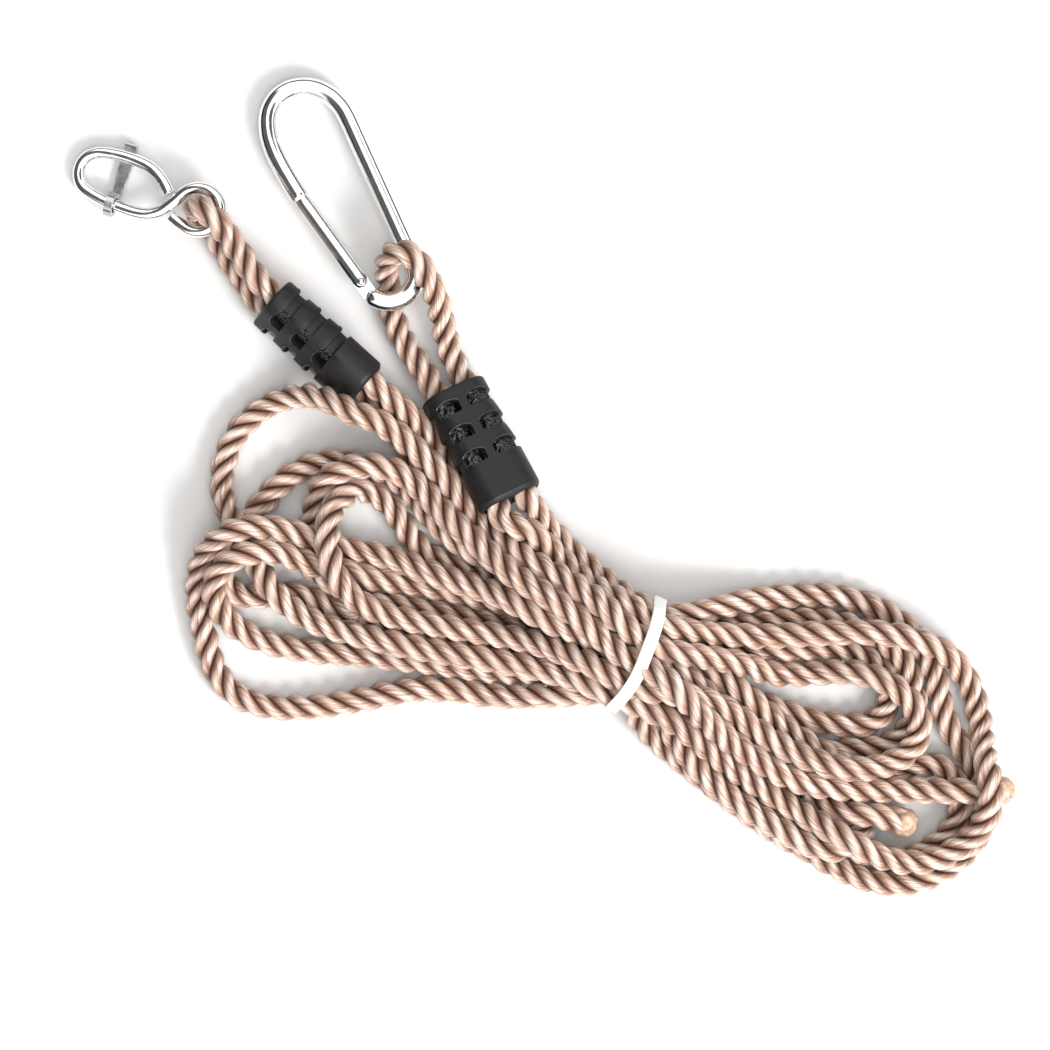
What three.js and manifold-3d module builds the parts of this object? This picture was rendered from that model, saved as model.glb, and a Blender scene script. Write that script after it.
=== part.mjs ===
// A hanging rope folded into a tied hank. One end eye holds a spring carabiner, the other a bent-wire
// hook with a hinged keeper, and each end runs through a two-channel length adjuster.
// Millimetres, +Z up. The origin is under the middle of the laid-out object, at the surface it lies on.
import * as THREE from 'three';
import { mergeVertices } from 'three/addons/utils/BufferGeometryUtils.js';
import Module from 'manifold-3d';

const wasm = await Module();
wasm.setup();

// ---- driving dimensions ----
const ROPE_R = 4.9;              // free rope stretches, just under the 10 mm rope
const ROPE_SIDES = 10;
const BAR_R = 3.65;              // carabiner bar
const GATE_R = 3.1;              // carabiner gate
const GATE_START = 0.65;         // gate's end face past the nose
const GATE_TAIL = 2.5;           // gate past its rivet
const TONGUE_T = 2.6;            // hinge tongue thickness
const TONGUE_R = 2.8;
const GATE_SLOT = 3.1;           // slot in the gate for the hinge tongue
const NOSE_T = 2.0;              // nose plate thickness
const NOSE_SLOT = 2.5;
const RIVET_R = 1.2;
const RIVET_HOLE_R = 1.3;
const BORE_R = 1.6;              // spring bore in the gate
const WIRE_R = 2.35;             // hook wire
const KEEPER_W = 4.7;            // keeper strip width
const KEEPER_OUT = 4.7;          // rolled eye, outside radius
const KEEPER_IN = 2.9;           // rolled eye, inside radius
const KEEPER_REACH = 24.2;
const ADJ_HALF_W = 13;           // adjuster half width
const ADJ_R = 8.25;              // adjuster half thickness and edge radius
const CHANNEL_R = 5.4;           // rope channel
const CHANNEL_AT = 5.9;          // channel centre from the middle
const BAND_W = 5;                // tie band width
const BAND_IN = 0.35;
const BAND_OUT = 1.15;

// free stretches of rope: centreline points
const ROPES = {
  rope_leg_1a: { steps: 14, route: [[-112.06,74.92,6.85],[-108.37,69.94,7.33],[-103.96,65.59,7.4],[-99.33,61.45,7.39],[-94.74,57.28,7.39],[-90.14,53.11,7.39],[-85.54,48.93,7.39],[-80.94,44.76,7.39],[-76.34,40.59,7.38],[-71.75,36.41,7.44],[-67.08,32.36,6.98],[-62.52,28.27,5.95],[-58.5,23.61,5.19]] },
  rope_leg_1b: { steps: 14, route: [[-52.55,27.73,11.27],[-56.73,31.14,13.8],[-60.93,34.67,16.13],[-65.24,38.49,17.64],[-69.66,42.5,17.59],[-74.07,46.5,17.62],[-78.49,50.51,17.61],[-82.91,54.51,17.61],[-87.32,58.52,17.61],[-91.74,62.52,17.61],[-96.16,66.52,17.61],[-100.56,70.54,17.6],[-105.04,74.47,17.64],[-109.02,78.9,17.4]] },
  rope_leg_2a: { steps: 12, route: [[-34.71,47.65,7.8],[-32.15,42.05,8.59],[-29.23,36.71,9.87],[-26.34,31.34,11.1],[-23.43,25.98,12.35],[-20.53,20.62,13.59],[-17.63,15.27,14.83],[-14.73,9.91,16.07],[-11.83,4.54,17.33],[-8.93,-0.81,18.54],[-6.03,-6.15,19.46]] },
  rope_leg_2b: { steps: 12, route: [[-17.03,-10.31,22.43],[-19.71,-4.9,21.15],[-22.58,0.36,19.93],[-25.44,5.64,18.71],[-28.29,10.91,17.49],[-31.15,16.18,16.27],[-34,21.46,15.04],[-36.86,26.73,13.82],[-39.71,32.01,12.6],[-42.57,37.28,11.38],[-45.45,42.54,10.12]] },
  rope_eye_hook: { steps: 32, route: [[-109.62,79.7,17.35],[-111.04,81.71,17.24],[-112.43,83.76,17.17],[-113.81,85.81,17.2],[-115.18,87.84,17.48],[-116.52,89.83,18.07],[-117.86,91.76,18.86],[-119.19,93.63,19.77],[-120.48,95.46,20.8],[-121.78,97.29,21.85],[-123.28,99.1,22.62],[-125.07,100.85,22.84],[-126.92,102.39,22.26],[-128.62,103.56,20.84],[-129.94,104.29,18.84],[-130.79,104.54,16.52],[-131.23,104.41,14.07],[-131.29,103.95,11.63],[-130.91,103.11,9.31],[-130.04,101.9,7.29],[-128.73,100.36,5.88],[-127.15,98.58,5.21],[-125.63,96.59,4.98],[-124.35,94.48,4.97],[-123.15,92.33,5.02],[-121.91,90.2,5.07],[-120.64,88.08,5.15],[-119.36,85.97,5.29],[-118.05,83.89,5.49],[-116.7,81.84,5.77],[-115.34,79.8,6.09],[-113.99,77.76,6.43],[-112.63,75.73,6.74]] },
  rope_eye_carabiner: { steps: 40, route: [[-45.96,43.35,9.85],[-47.31,45.27,9.05],[-48.7,47.15,8.18],[-50.06,49.08,7.38],[-51.38,51.08,6.71],[-52.65,53.16,6.2],[-53.85,55.3,5.8],[-54.98,57.5,5.46],[-55.98,59.76,5.23],[-56.81,62.11,5.14],[-57.45,64.51,5.05],[-57.93,66.96,4.9],[-58.32,69.41,4.92],[-58.7,71.85,5.35],[-59.05,74.16,6.23],[-59.37,76.26,7.54],[-59.6,78.13,9.18],[-59.71,79.8,11.03],[-59.66,81.38,12.95],[-59.44,82.95,14.87],[-58.95,84.47,16.78],[-58.1,85.83,18.71],[-56.73,86.86,20.54],[-54.8,87.4,22.14],[-52.58,87.17,23.24],[-50.39,86.07,23.68],[-48.45,84.4,23.6],[-46.9,82.49,23.17],[-45.63,80.45,22.52],[-44.5,78.38,21.71],[-43.46,76.34,20.74],[-42.5,74.35,19.59],[-41.66,72.38,18.31],[-40.99,70.4,16.97],[-40.41,68.4,15.61],[-39.87,66.39,14.24],[-39.35,64.35,12.92],[-38.84,62.27,11.66],[-38.32,60.14,10.47],[-37.8,57.96,9.37],[-37.2,55.7,8.52],[-36.51,53.36,8.04],[-35.78,50.98,7.83],[-35.03,48.6,7.77]] },
  rope_tail_a: { steps: 5, route: [[120.29,-123.62,16],[124.33,-124.24,15],[128.1,-125.01,13.27],[131.67,-125.82,11.22],[135.14,-126.69,9.01],[138.65,-127.53,6.87]] },
  rope_tail_b: { steps: 3, route: [[174.48,-114.6,6.28],[173.33,-114.58,7.99],[171.97,-114.62,9.56],[170.41,-114.71,10.95]] }
};

// adjusters: fitting-side mouth, direction along the rope, direction across both channels, broad face
const ADJUSTERS = {
  adjuster_1: { mouth: [-103.057,68.805,12.500], along: [0.74073,-0.67180,0.00000], wide: [0.33590,0.37036,0.86603], face: [-0.58180,-0.64149,0.50000], length: 47.45 },
  adjuster_2: { mouth: [-35.012,35.346,11.000], along: [0.46643,-0.86171,0.19977], wide: [0.87632,0.41938,-0.23705], face: [0.12048,0.28563,0.95074], length: 47.55 },
};

// carabiner bar centreline, nose to hinge end
const CARABINER = [[-92.15,108.09,8.36],[-92.99,109.43,8.18],[-93.82,110.76,7.99],[-94.67,112.11,7.8],[-95.54,113.54,7.61],[-96.46,115.06,7.4],[-97.43,116.66,7.18],[-98.39,118.29,6.96],[-99.3,119.93,6.73],[-100.17,121.59,6.51],[-101.01,123.27,6.29],[-101.8,124.97,6.07],[-102.49,126.7,5.84],[-103.11,128.46,5.62],[-103.66,130.25,5.4],[-104.09,132.05,5.18],[-104.37,133.84,4.98],[-104.51,135.66,4.77],[-104.53,137.5,4.57],[-104.37,139.29,4.38],[-104,140.99,4.21],[-103.38,142.6,4.06],[-102.54,144.16,3.93],[-101.54,145.58,3.82],[-100.43,146.81,3.74],[-99.19,147.83,3.69],[-97.81,148.67,3.66],[-96.32,149.33,3.66],[-94.79,149.82,3.67],[-93.16,150.13,3.72],[-91.44,150.27,3.78],[-89.7,150.23,3.87],[-88.02,150.01,3.97],[-86.38,149.58,4.09],[-84.76,148.95,4.24],[-83.22,148.19,4.39],[-81.82,147.38,4.55],[-80.57,146.5,4.7],[-79.45,145.53,4.86],[-78.44,144.5,5.02],[-77.49,143.43,5.18],[-76.69,142.45,5.33],[-76.02,141.5,5.46],[-75.34,140.34,5.62],[-74.49,138.73,5.84],[-73.4,136.48,6.13],[-72.18,133.77,6.49],[-70.89,130.86,6.86],[-69.64,128.05,7.23],[-68.42,125.38,7.58],[-67.21,122.71,7.93],[-66,120.05,8.27],[-64.79,117.38,8.62],[-63.57,114.71,8.97],[-62.36,112.04,9.32],[-61.15,109.37,9.67],[-59.94,106.7,10.02],[-58.72,104.03,10.37],[-57.51,101.36,10.71],[-56.3,98.69,11.06],[-55.09,96.02,11.41],[-53.8,93.25,11.77],[-52.46,90.41,12.15],[-51.22,87.71,12.5],[-50.24,85.35,12.8],[-49.56,83.39,13.05],[-49.11,81.72,13.25],[-48.82,80.29,13.42],[-48.66,79.01,13.57],[-48.62,77.94,13.69],[-48.74,77.08,13.78],[-48.97,76.33,13.85],[-49.24,75.57,13.92],[-49.57,74.77,13.99],[-49.98,73.98,14.06],[-50.45,73.24,14.12],[-50.97,72.54,14.17],[-51.56,71.9,14.21],[-52.2,71.3,14.25],[-52.9,70.76,14.28],[-53.63,70.29,14.29],[-54.4,69.88,14.3],[-55.21,69.54,14.3],[-56.05,69.27,14.29],[-56.9,69.08,14.27],[-57.76,68.96,14.25],[-58.64,68.92,14.21],[-59.52,68.95,14.16],[-60.39,69.06,14.11],[-61.24,69.25,14.05],[-62.08,69.51,13.98],[-62.9,69.84,13.91],[-63.67,70.24,13.83],[-64.38,70.72,13.74],[-65.05,71.28,13.65],[-65.7,71.88,13.56],[-66.35,72.46,13.46]];
const NOSE = [-92.154,108.091,8.361];
const RIVET = [-69.034,76.136,12.935];
const GATE_DIR = [0.58228,-0.80478,0.11519];
const GATE_SIDE = [0.81166,0.58355,-0.02594];
const CARABINER_UP = [-0.04634,0.10859,0.99301];

// hook wire centreline, end to end
const HOOK = [[-141.52,109.71,9.08],[-142.31,111.39,8.84],[-143.1,113.06,8.6],[-144.03,114.67,8.34],[-145.17,116.22,8.04],[-146.44,117.7,7.73],[-147.79,118.99,7.42],[-149.2,120.02,7.11],[-150.69,120.85,6.8],[-152.3,121.62,6.47],[-154.1,122.38,6.11],[-156.02,123.08,5.73],[-157.94,123.69,5.36],[-159.85,124.22,5],[-161.76,124.67,4.64],[-163.58,125.01,4.3],[-165.3,125.27,3.98],[-166.92,125.42,3.69],[-168.47,125.38,3.42],[-169.96,125.13,3.18],[-171.37,124.69,2.96],[-172.61,124.07,2.78],[-173.66,123.23,2.65],[-174.55,122.2,2.55],[-175.24,121.06,2.5],[-175.72,119.81,2.49],[-176.01,118.46,2.53],[-176.06,117.11,2.6],[-175.89,115.76,2.71],[-175.5,114.41,2.86],[-174.86,113.17,3.05],[-173.98,112.1,3.27],[-172.85,111.14,3.52],[-171.48,110.16,3.82],[-169.78,109.08,4.18],[-167.83,107.98,4.59],[-165.84,106.96,5],[-163.85,106.07,5.4],[-161.81,105.26,5.8],[-159.82,104.52,6.2],[-157.89,103.81,6.58],[-155.99,103.16,6.95],[-154.18,102.64,7.3],[-152.49,102.26,7.62],[-150.87,102.02,7.91],[-149.3,101.96,8.19],[-147.72,102.14,8.45],[-146.19,102.51,8.7],[-144.79,103.02,8.91],[-143.57,103.66,9.09],[-142.49,104.43,9.23],[-141.4,105.27,9.37],[-140.27,106.18,9.51],[-139.13,107.14,9.65],[-138.02,108.09,9.79],[-136.96,109.04,9.91],[-135.92,109.97,10.04],[-134.82,110.72,10.18],[-133.63,111.25,10.36],[-132.37,111.61,10.56],[-131.06,111.77,10.78],[-129.68,111.75,11.02],[-128.25,111.53,11.28],[-126.93,111.1,11.54],[-125.74,110.41,11.79],[-124.66,109.5,12.03],[-123.73,108.47,12.26],[-122.94,107.31,12.46],[-122.31,106.03,12.65],[-121.93,104.71,12.8],[-121.85,103.33,12.9],[-122.02,101.91,12.95],[-122.42,100.57,12.97],[-123.03,99.33,12.93],[-123.86,98.18,12.86],[-124.86,97.19,12.74],[-126.05,96.37,12.59],[-127.41,95.71,12.39],[-128.81,95.31,12.17],[-130.24,95.2,11.93],[-131.72,95.34,11.66],[-133.13,95.68,11.39],[-134.42,96.27,11.13],[-135.65,97.05,10.87],[-136.89,97.94,10.6],[-138.16,98.92,10.32],[-139.44,99.99,10.03],[-140.73,101.06,9.74]];
const KEEPER_AT = [-163.583,105.798,5.464];
const KEEPER_DIR = [0.30092,0.95363,-0.00537];
const KEEPER_UP = [-0.17163,0.05969,0.98335];
const KEEPER_AXIS = [0.93808,-0.29499,0.18163];

// hank: cross sections of its outer shape, from the left loops to the right loops
const HANK = [
  [[-119.6,24.5,5],[-119.7,24.2,3.5],[-120,23.7,2.2],[-120.4,22.7,1.1],[-121,21.4,0.3],[-121.7,19.9,0],[-122.5,18.2,0],[-123.2,16.7,0.3],[-123.8,15.4,1.1],[-124.2,14.4,2.2],[-124.5,13.9,3.5],[-124.6,13.7,5],[-124.5,13.9,6.5],[-124.2,14.4,7.8],[-123.8,15.4,8.9],[-123.2,16.7,9.2],[-122.5,18.2,9],[-121.7,19.9,9],[-121,21.4,9],[-120.4,22.7,8.9],[-120,23.7,7.8],[-119.7,24.2,6.5]],
  [[-114,31.4,5],[-114.2,30.9,2.6],[-114.9,29.5,0.9],[-116,27.1,0],[-117.5,23.8,0],[-119.3,20,0],[-121.3,15.6,0],[-123,11.8,0],[-124.5,8.5,0],[-125.6,6.1,0.9],[-126.3,4.7,2.6],[-126.5,4.1,5],[-126.3,4.7,7.4],[-125.6,6.1,9.1],[-124.5,8.5,10],[-123,11.8,10.1],[-121.3,15.6,9.6],[-119.3,20,9],[-117.5,23.8,9.1],[-116,27.1,9.3],[-114.9,29.5,9.1],[-114.2,30.9,7.4]],
  [[-107.7,35.7,5],[-108,34.8,2.1],[-109,32.7,0.3],[-110.8,28.9,0],[-113.1,23.8,0],[-115.8,17.8,0],[-118.9,11.1,0],[-121.7,5.1,0],[-124,0,0],[-125.8,-3.8,0.3],[-126.7,-5.9,2.1],[-127.1,-6.8,5],[-126.7,-5.9,7.9],[-125.8,-3.8,9.7],[-124,0,13.7],[-121.7,5.1,13.4],[-118.9,11.1,12.5],[-115.8,17.8,10.3],[-113.1,23.8,9.8],[-110.8,28.9,10.5],[-109,32.7,9.7],[-108,34.8,7.9]],
  [[-91.4,37.6,5],[-92.3,35.8,1],[-94.4,31.2,0],[-98.2,23,0],[-103.2,12,0],[-109.1,-0.8,0],[-115.8,-15.5,0],[-121.7,-28.3,0],[-126.7,-39.3,0],[-130.5,-47.5,0],[-132.6,-52.1,1],[-133.4,-53.9,5],[-132.6,-52.1,9],[-130.5,-47.5,13.6],[-126.7,-39.3,16.4],[-121.7,-28.3,17.9],[-115.8,-15.5,18.4],[-109.1,-0.8,14.6],[-103.2,12,12],[-98.2,23,12.7],[-94.4,31.2,14.5],[-92.3,35.8,9]],
  [[-81.1,31.4,5],[-82,29.3,0.8],[-84.4,24.2,0],[-88.6,15.1,0],[-94.2,2.8,0],[-100.7,-11.4,0],[-108.2,-27.8,0],[-114.8,-42,0],[-120.4,-54.3,0],[-124.6,-63.4,0],[-126.9,-68.5,0.8],[-127.9,-70.6,5],[-126.9,-68.5,9.2],[-124.6,-63.4,10.9],[-120.4,-54.3,12.9],[-114.8,-42,15.3],[-108.2,-27.8,19.6],[-100.7,-11.4,18.4],[-94.2,2.8,14.7],[-88.6,15.1,13.4],[-84.4,24.2,14.6],[-82,29.3,9.2]],
  [[-71.5,23.6,5],[-72.5,21.5,0.8],[-74.9,16.2,0],[-79.2,6.7,0],[-85,-6,0],[-91.8,-20.7,0],[-99.6,-37.6,0],[-106.3,-52.4,0],[-112.1,-65,0],[-116.5,-74.5,0],[-118.9,-79.8,0.8],[-119.9,-81.9,5],[-118.9,-79.8,9],[-116.5,-74.5,9.4],[-112.1,-65,10.2],[-106.3,-52.4,12.2],[-99.6,-37.6,18.2],[-91.8,-20.7,20.8],[-85,-6,18.8],[-79.2,6.7,16.1],[-74.9,16.2,14],[-72.5,21.5,9.2]],
  [[-61.7,16.1,5],[-62.7,14,0.8],[-65,8.8,0],[-69.3,-0.5,0],[-75,-12.9,0],[-81.6,-27.3,0],[-89.2,-43.9,0],[-95.9,-58.3,0],[-101.5,-70.7,0],[-105.8,-80,0],[-108.2,-85.2,0.8],[-109.1,-87.2,5],[-108.2,-85.2,9],[-105.8,-80,9.1],[-101.5,-70.7,10],[-95.9,-58.3,12.8],[-89.2,-43.9,18.6],[-81.6,-27.3,21.1],[-75,-12.9,19.7],[-69.3,-0.5,18.5],[-65,8.8,16.5],[-62.7,14,9.2]],
  [[-47.7,17.9,5],[-48.6,15.8,0.8],[-51.1,10.5,0],[-55.5,0.9,0],[-61.4,-11.9,0],[-68.2,-26.8,0],[-76,-43.9,0],[-82.9,-58.8,0],[-88.7,-71.6,0],[-93.1,-81.2,0],[-95.6,-86.5,0.8],[-96.6,-88.6,5],[-95.6,-86.5,9.1],[-93.1,-81.2,9.5],[-88.7,-71.6,11.4],[-82.9,-58.8,15.6],[-76,-43.9,19.4],[-68.2,-26.8,18],[-61.4,-11.9,15.6],[-55.5,0.9,17.5],[-51.1,10.5,17.1],[-48.6,15.8,9.2]],
  [[-38.5,9.2,5],[-39.4,7.3,0.9],[-41.6,2.4,0],[-45.5,-6.2,0],[-50.8,-17.7,0],[-57,-31.2,0],[-64.1,-46.6,0],[-70.2,-60,0],[-75.5,-71.6,0],[-79.5,-80.2,0],[-81.7,-85,0.9],[-82.6,-86.9,5],[-81.7,-85,9],[-79.5,-80.2,9.3],[-75.5,-71.6,11.4],[-70.2,-60,16.3],[-64.1,-46.6,18.9],[-57,-31.2,16.3],[-50.8,-17.7,14.5],[-45.5,-6.2,18.3],[-41.6,2.4,15.3],[-39.4,7.3,9.1]],
  [[-29.8,-0.7,5],[-30.6,-2.4,1.1],[-32.5,-6.6,0],[-36,-14.2,0],[-40.6,-24.3,0],[-46,-36.1,0],[-52.2,-49.5,0],[-57.6,-61.3,0],[-62.3,-71.4,0],[-65.7,-79,0],[-67.7,-83.2,1.1],[-68.4,-84.9,5],[-67.7,-83.2,8.9],[-65.7,-79,9.2],[-62.3,-71.4,11],[-57.6,-61.3,15.9],[-52.2,-49.5,18],[-46,-36.1,17.2],[-40.6,-24.3,17.4],[-36,-14.2,21.4],[-32.5,-6.6,13.3],[-30.6,-2.4,8.9]],
  [[-22.4,-13.4,5],[-23.1,-14.8,1.4],[-24.7,-18.3,0],[-27.5,-24.5,0],[-31.3,-32.8,0],[-35.8,-42.5,0],[-40.9,-53.6,0],[-45.3,-63.3,0],[-49.1,-71.6,0],[-52,-77.8,0],[-53.6,-81.3,1.4],[-54.2,-82.7,5],[-53.6,-81.3,8.6],[-52,-77.8,9.2],[-49.1,-71.6,11.1],[-45.3,-63.3,15.8],[-40.9,-53.6,18.1],[-35.8,-42.5,20.1],[-31.3,-32.8,22.3],[-27.5,-24.5,25.4],[-24.7,-18.3,10.7],[-23.1,-14.8,8.6]],
  [[-10.5,-16.1,5],[-11.1,-17.5,1.5],[-12.6,-20.7,0],[-15.3,-26.7,0],[-18.9,-34.5,0],[-23.2,-43.7,0],[-28,-54.3,0],[-32.2,-63.5,0],[-35.8,-71.3,0],[-38.5,-77.3,0],[-40,-80.5,1.5],[-40.6,-81.9,5],[-40,-80.5,8.5],[-38.5,-77.3,9.8],[-35.8,-71.3,12.4],[-32.2,-63.5,16.6],[-28,-54.3,20],[-23.2,-43.7,24.9],[-18.9,-34.5,27.9],[-15.3,-26.7,24.5],[-12.6,-20.7,10.1],[-11.1,-17.5,8.5]],
  [[4.4,-12.5,5],[3.7,-13.9,1.4],[2.1,-17.4,0],[-0.7,-23.6,0],[-4.5,-32,0],[-9,-41.7,0],[-14.1,-52.8,0],[-18.6,-62.5,0],[-22.4,-70.8,0],[-25.2,-77.1,0],[-26.8,-80.5,1.4],[-27.5,-81.9,5],[-26.8,-80.5,8.6],[-25.2,-77.1,10.8],[-22.4,-70.8,15.7],[-18.6,-62.5,19.6],[-14.1,-52.8,23.7],[-9,-41.7,29.6],[-4.5,-32,31.6],[-0.7,-23.6,25.9],[2.1,-17.4,10.8],[3.7,-13.9,8.6]],
  [[13.9,-20.4,5],[13.4,-21.7,1.6],[11.9,-24.8,0],[9.4,-30.4,0],[6,-37.8,0],[2,-46.5,0],[-2.6,-56.4,0],[-6.5,-65.1,0],[-10,-72.6,0],[-12.5,-78.1,0],[-13.9,-81.2,1.6],[-14.5,-82.5,5],[-13.9,-81.2,8.4],[-12.5,-78.1,10],[-10,-72.6,19.6],[-6.5,-65.1,24.1],[-2.6,-56.4,28.4],[2,-46.5,33.4],[6,-37.8,34.2],[9.4,-30.4,23],[11.9,-24.8,10],[13.4,-21.7,8.4]],
  [[23.2,-29,5],[22.7,-30.1,1.8],[21.5,-32.8,0.1],[19.2,-37.7,0],[16.3,-44.1,0],[12.8,-51.7,0],[8.9,-60.3,0],[5.4,-67.8,0],[2.4,-74.3,0],[0.2,-79.1,0.1],[-1,-81.8,1.8],[-1.5,-82.9,5],[-1,-81.8,8.2],[0.2,-79.1,9.9],[2.4,-74.3,19.9],[5.4,-67.8,28.8],[8.9,-60.3,32.4],[12.8,-51.7,35.7],[16.3,-44.1,35.5],[19.2,-37.7,19.9],[21.5,-32.8,9.9],[22.7,-30.1,8.2]],
  [[32.6,-37.4,5],[32.1,-38.3,2],[31.1,-40.6,0.2],[29.2,-44.7,0],[26.7,-50.2,0],[23.8,-56.6,0],[20.4,-63.9,0],[17.5,-70.3,0],[15,-75.8,0],[13.1,-79.9,0.2],[12,-82.2,2],[11.6,-83.1,5],[12,-82.2,8],[13.1,-79.9,9.8],[15,-75.8,16.7],[17.5,-70.3,29.9],[20.4,-63.9,35.9],[23.8,-56.6,37.6],[26.7,-50.2,29.9],[29.2,-44.7,16.7],[31.1,-40.6,9.8],[32.1,-38.3,8]],
  [[36.5,-40.7,5],[36.2,-41.6,2.1],[35.2,-43.7,0.3],[33.4,-47.5,0],[31.1,-52.6,0],[28.4,-58.5,0],[25.3,-65.3,0],[22.6,-71.2,0],[20.2,-76.3,0],[18.5,-80.1,0.3],[17.5,-82.2,2.1],[17.1,-83.1,5],[17.5,-82.2,7.9],[18.5,-80.1,9.7],[20.2,-76.3,15.4],[22.6,-71.2,27.7],[25.3,-65.3,37.7],[28.4,-58.5,38.4],[31.1,-52.6,27.7],[33.4,-47.5,15.4],[35.2,-43.7,9.7],[36.2,-41.6,7.9]],
  [[40,-42.3,19.5],[39.6,-43.1,16.8],[38.7,-45.1,12.3],[37.1,-48.6,7.1],[35,-53.3,3.8],[32.4,-58.8,2.1],[29.5,-65.1,1.8],[27,-70.6,3.8],[24.9,-75.3,6.5],[23.2,-78.8,11],[22.3,-80.8,13.8],[22,-81.6,24.1],[22.3,-80.8,27.2],[23.2,-78.8,29.9],[24.9,-75.3,34.6],[27,-70.6,36.9],[29.5,-65.1,38.7],[32.4,-58.8,38.4],[35,-53.3,37],[37.1,-48.6,33.8],[38.7,-45.1,29.2],[39.6,-43.1,23]],
  [[45.8,-45,19.5],[45.5,-45.8,16.8],[44.6,-47.7,12.3],[42.9,-51.3,7.1],[40.8,-56,3.8],[38.2,-61.5,2.1],[35.4,-67.8,1.8],[32.8,-73.3,3.8],[30.7,-78,6.5],[29.1,-81.5,11],[28.2,-83.5,13.8],[27.8,-84.3,24.1],[28.2,-83.5,27.2],[29.1,-81.5,29.9],[30.7,-78,34.6],[32.8,-73.3,36.9],[35.4,-67.8,38.7],[38.2,-61.5,38.4],[40.8,-56,37],[42.9,-51.3,33.8],[44.6,-47.7,29.2],[45.5,-45.8,23]],
  [[50.7,-43.4,5],[50.3,-44.3,2],[49.3,-46.5,0.3],[47.5,-50.4,0],[45.1,-55.7,0],[42.3,-61.8,0],[39.1,-68.8,0],[36.3,-74.9,0],[33.8,-80.2,0],[32,-84.1,0.3],[31,-86.3,2],[30.6,-87.2,5],[31,-86.3,8],[32,-84.1,9.7],[33.8,-80.2,16],[36.3,-74.9,28.7],[39.1,-68.8,41.7],[42.3,-61.8,39.6],[45.1,-55.7,28.7],[47.5,-50.4,16],[49.3,-46.5,9.7],[50.3,-44.3,8]],
  [[58.3,-43.6,5],[57.9,-44.6,1.9],[56.8,-47,0.2],[54.7,-51.4,0],[52,-57.3,0],[48.9,-64.2,0],[45.3,-72,0],[42.1,-78.9,0],[39.4,-84.8,0],[37.4,-89.2,0.2],[36.3,-91.7,1.9],[35.8,-92.7,5],[36.3,-91.7,8.1],[37.4,-89.2,9.8],[39.4,-84.8,18],[42.1,-78.9,32.3],[45.3,-72,41.1],[48.9,-64.2,37.2],[52,-57.3,32.3],[54.7,-51.4,18],[56.8,-47,9.8],[57.9,-44.6,8.1]],
  [[73.4,-39.6,5],[72.8,-40.8,1.6],[71.4,-43.9,0],[68.8,-49.5,0],[65.4,-57,0],[61.4,-65.7,0],[56.9,-75.6,0],[52.9,-84.3,0],[49.4,-91.8,0],[46.9,-97.3,0],[45.4,-100.5,1.6],[44.9,-101.7,5],[45.4,-100.5,8.4],[46.9,-97.3,10],[49.4,-91.8,23.1],[52.9,-84.3,38.6],[56.9,-75.6,37.9],[61.4,-65.7,32],[65.4,-57,26.9],[68.8,-49.5,22.5],[71.4,-43.9,10],[72.8,-40.8,8.4]],
  [[87.6,-37.3,5],[87,-38.7,1.3],[85.3,-42.4,0],[82.3,-48.9,0],[78.3,-57.7,0],[73.6,-67.9,0],[68.2,-79.6,0],[63.6,-89.8,0],[59.5,-98.5,0],[56.5,-105.1,0],[54.9,-108.7,1.3],[54.2,-110.2,5],[54.9,-108.7,8.7],[56.5,-105.1,11.4],[59.5,-98.5,27.2],[63.6,-89.8,34.2],[68.2,-79.6,31.4],[73.6,-67.9,25.1],[78.3,-57.7,20.8],[82.3,-48.9,17.5],[85.3,-42.4,11.4],[87,-38.7,8.7]],
  [[101.2,-36.4,5],[100.5,-38,1.2],[98.6,-42.1,0],[95.2,-49.5,0],[90.7,-59.4,0],[85.4,-70.9,0],[79.4,-84,0],[74.1,-95.5,0],[69.6,-105.3,0],[66.2,-112.7,0],[64.4,-116.8,1.2],[63.6,-118.4,5],[64.4,-116.8,8.8],[66.2,-112.7,12.9],[69.6,-105.3,27.3],[74.1,-95.5,29.7],[79.4,-84,25],[85.4,-70.9,19.5],[90.7,-59.4,17.5],[95.2,-49.5,15.6],[98.6,-42.1,11.5],[100.5,-38,8.8]],
  [[114.1,-37.2,5],[113.3,-38.9,1],[111.2,-43.4,0],[107.6,-51.3,0],[102.7,-61.9,0],[97.1,-74.3,0],[90.6,-88.4,0],[84.9,-100.7,0],[80.1,-111.3,0],[76.4,-119.3,0],[74.4,-123.7,1],[73.6,-125.5,5],[74.4,-123.7,9],[76.4,-119.3,14],[80.1,-111.3,25.5],[84.9,-100.7,26.1],[90.6,-88.4,20.7],[97.1,-74.3,16.3],[102.7,-61.9,16.5],[107.6,-51.3,16],[111.2,-43.4,12.4],[113.3,-38.9,9]],
  [[125.4,-41.3,5],[124.6,-43.1,1],[122.5,-47.6,0],[118.7,-55.8,0],[113.7,-66.7,0],[107.9,-79.4,0],[101.2,-94,0],[95.4,-106.7,0],[90.4,-117.6,0],[86.6,-125.8,0],[84.6,-130.3,1],[83.7,-132.2,5],[84.6,-130.3,9],[86.6,-125.8,14.4],[90.4,-117.6,24.6],[95.4,-106.7,24.9],[101.2,-94,20.6],[107.9,-79.4,16.1],[113.7,-66.7,17],[118.7,-55.8,17.4],[122.5,-47.6,14.4],[124.6,-43.1,9]],
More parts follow.
